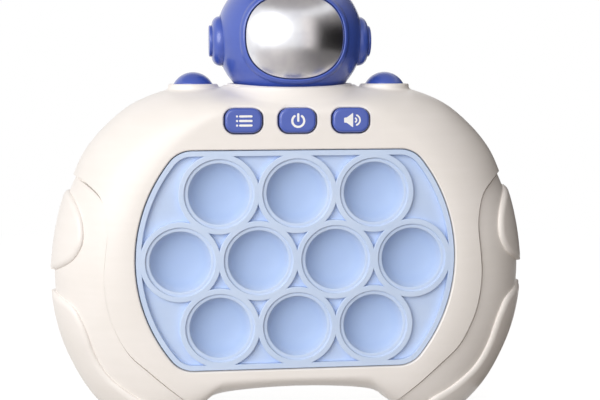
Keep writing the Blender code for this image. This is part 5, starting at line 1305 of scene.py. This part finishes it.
def dress_nodes():
    """Finishes of the CAD nodes that stay."""
    finishes = {"panel_frame": black, "main_board": board, "speaker": black, "speaker_cone": cone,
                "battery_lead_plus": red_lead, "battery_lead_minus": black_lead, "speaker_lead": red_lead}
    for name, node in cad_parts.items():
        finish = finishes.get(name)
        if "switch" in name:
            finish = black
        if "flat_contact" in name:
            finish = steel
        if finish:
            for slot in node.material_slots:
                slot.material = finish


add_pieces()
dress_nodes()

# Stage: the camera, then cards and floor in metres, with turns in degrees from the view's axis
CAMERA_PLACE, CAMERA_TURNS, CAMERA_LENS = (-44.02, -398.2, 115.99), {"Z": -6.8, "X": -6.1, "Y": 0.1}, 71.4
LIT_PLACE = Vector((0.0, 0.0, 0.07))
WHITE = (1.0, 1.0, 1.0, 1.0)
AMBIENT, AMBIENT_COLOUR = 0.57, (1.0, 0.965, 0.935, 1.0)
FLOOR_HALF, FLOOR_TONE = 3.0, (0.4, 0.36, 0.32, 1.0)
FLOOR_GLOW, FLOOR_GLOW_SHARE, FLOOR_FADE = 1.22, 0.75, (0.15, 0.5)
CARD_COLOUR, CARD_STEPS = (1.0, 0.94, 0.9, 1.0), 40
WALL_RADIUS, WALL_HEIGHT, WALL_TURNS, WALL_FADE = 0.4, 0.4, (14.0, 150.0), (22.0, 45.0)
WALL_LOW, WALL_HIGH, WALL_RISE = 0.005, 0.4, (0.18, 0.42)
ROOF_RADII, ROOF_HEIGHT, ROOF_TONE, ROOF_STEPS = (0.01, 1.0), 1.2, 0.45, 49
PATCH_START, PATCH_HEIGHT, PATCH_TURNS = 0.07, 0.003, (-60.0, 120.0)
PATCH_FADE, PATCH_LOW, PATCH_HIGH = (-0.12, 0.16), 0.2, 0.75


def add_camera():
    camera = bpy.data.cameras.new("camera")
    camera.lens = CAMERA_LENS
    camera.sensor_width = 36.0
    made = bpy.data.objects.new("camera", camera)
    turn = Matrix.Identity(3)
    for axis, angle in CAMERA_TURNS.items():
        turn = turn @ Matrix.Rotation(math.radians(angle), 3, axis)
    turn = turn @ Matrix.Rotation(math.pi / 2, 3, "X")
    made.matrix_world = Matrix.LocRotScale(Vector(CAMERA_PLACE) * MM, turn, None)
    bpy.context.scene.collection.objects.link(made)
    bpy.context.scene.camera = made


def add_lamp(name, azimuth, height, distance, size, power, colour):
    """Oval soft lamp that looks at the object; azimuth is towards the left of the camera."""
    lamp = bpy.data.lights.new(name, "AREA")
    lamp.shape, lamp.energy, lamp.color = "ELLIPSE", power, colour
    lamp.size, lamp.size_y = size
    made = bpy.data.objects.new(name, lamp)
    across, up = math.radians(azimuth), math.radians(height)
    away = Vector((-math.sin(across) * math.cos(up), -math.cos(across) * math.cos(up), math.sin(up)))
    made.matrix_world = Matrix.LocRotScale(LIT_PLACE + away * distance, away.to_track_quat("Z", "Y"), None)
    made.visible_camera = False
    bpy.context.scene.collection.objects.link(made)


def seen(graph):
    """1 where the camera, a reflection or glass looks, 0 for the light that falls on the object."""
    kinds = ("Camera", "Glossy", "Transmission")
    rays = [graph.node("LightPath", {}, {}, f"Is {kind} Ray") for kind in kinds]
    return graph.math("MINIMUM", rays[0] + rays[1] + rays[2], 1.0)


def grid_sheet(name, rows):
    """Open sheet through rows of points in metres."""
    mesh = bpy.data.meshes.new(name)
    mesh.from_pydata(np.concatenate(rows).tolist(), [], quads(numbered(rows)))
    return mesh


def add_stage(mesh, shader_of):
    finish = bpy.data.materials.new(mesh.name)
    graph = Graph(finish)
    graph.node("OutputMaterial", {}, {"Surface": shader_of(graph)})
    mesh.materials.append(finish)
    made = bpy.data.objects.new(mesh.name, mesh)
    bpy.context.scene.collection.objects.link(made)
    return made


def add_floor():
    """White to the camera, apart from the object's shadow, and grey to the light."""
    def shader(graph):
        white = seen(graph)
        spot = graph.node("VectorMath", {"operation": "LENGTH"}, {0: graph.place()}, "Value")
        far = graph.between(spot, *FLOOR_FADE)
        tone = graph.mixed(white, FLOOR_TONE, WHITE)
        matt = graph.node("BsdfDiffuse", {}, {"Color": tone})
        glow = graph.node("Emission", {}, {"Strength": FLOOR_GLOW - far * (FLOOR_GLOW - 1.0)})
        share = white * (FLOOR_GLOW_SHARE + far * (1.0 - FLOOR_GLOW_SHARE))
        return graph.node("MixShader", {}, {0: share, 1: matt, 2: glow})
    ends = (-FLOOR_HALF, FLOOR_HALF)
    add_stage(grid_sheet("floor", [np.array([(x, y, 0.0) for x in ends]) for y in ends]), shader)


def add_cards():
    """Cards that shape the shade and the reflections: a dark one round the right, a grey one above,
    and a dark one on the floor that only reflections see."""
    def glow(graph, strength):
        return graph.node("Emission", {}, {"Color": CARD_COLOUR, "Strength": strength})

    def wall_shader(graph):
        place = graph.place()
        x, y, z = [graph.node("SeparateXYZ", {}, {0: place}, number) for number in range(3)]
        tone = WALL_LOW + graph.between(z, *WALL_RISE) * (WALL_HIGH - WALL_LOW)
        turn = graph.math("ARCTAN2", x, y * -1.0)
        start = 1.0 - graph.between(turn, *map(math.radians, WALL_FADE))
        return glow(graph, tone + start * (1.0 - tone))

    def patch_shader(graph):
        x = graph.node("SeparateXYZ", {}, {0: graph.place()}, 0)
        return glow(graph, PATCH_HIGH + graph.between(x, *PATCH_FADE) * (PATCH_LOW - PATCH_HIGH))

    def ring_card(name, edges, turns):
        return grid_sheet(name, [ellipse(radius, radius, z, turns - math.pi / 2) for radius, z in edges])
    turns = np.radians(np.linspace(*WALL_TURNS, CARD_STEPS))
    roof_turns = np.linspace(0.0, math.tau, ROOF_STEPS)
    wall = ring_card("right_card", [(WALL_RADIUS, z) for z in (0.0, WALL_HEIGHT)], turns)
    roof = ring_card("top_card", [(radius, ROOF_HEIGHT) for radius in ROOF_RADII], roof_turns)
    turns = np.radians(np.linspace(*PATCH_TURNS, CARD_STEPS))
    patch = ring_card("floor_card", [(radius, PATCH_HEIGHT) for radius in (PATCH_START, WALL_RADIUS)], turns)
    cards = [add_stage(wall, wall_shader), add_stage(roof, lambda graph: glow(graph, ROOF_TONE)),
             add_stage(patch, patch_shader)]
    for card in cards:
        card.visible_camera = False
    cards[2].visible_diffuse = cards[2].visible_shadow = False


def add_world():
    world = bpy.data.worlds.new("studio")
    bpy.context.scene.world = world
    graph = Graph(world)
    white = seen(graph)
    tone = graph.mixed(white, AMBIENT_COLOUR, WHITE)
    light = graph.node("Background", {}, {"Color": tone, "Strength": AMBIENT + white * (1.0 - AMBIENT)})
    graph.node("OutputWorld", {}, {"Surface": light})


add_camera()
add_floor()
add_cards()
add_world()
add_lamp("key", azimuth=35.0, height=17.0, distance=1.15, size=(1.1, 0.85), power=9.6,
         colour=(0.985, 0.995, 1.0))
bpy.context.scene.view_settings.view_transform = "Standard"
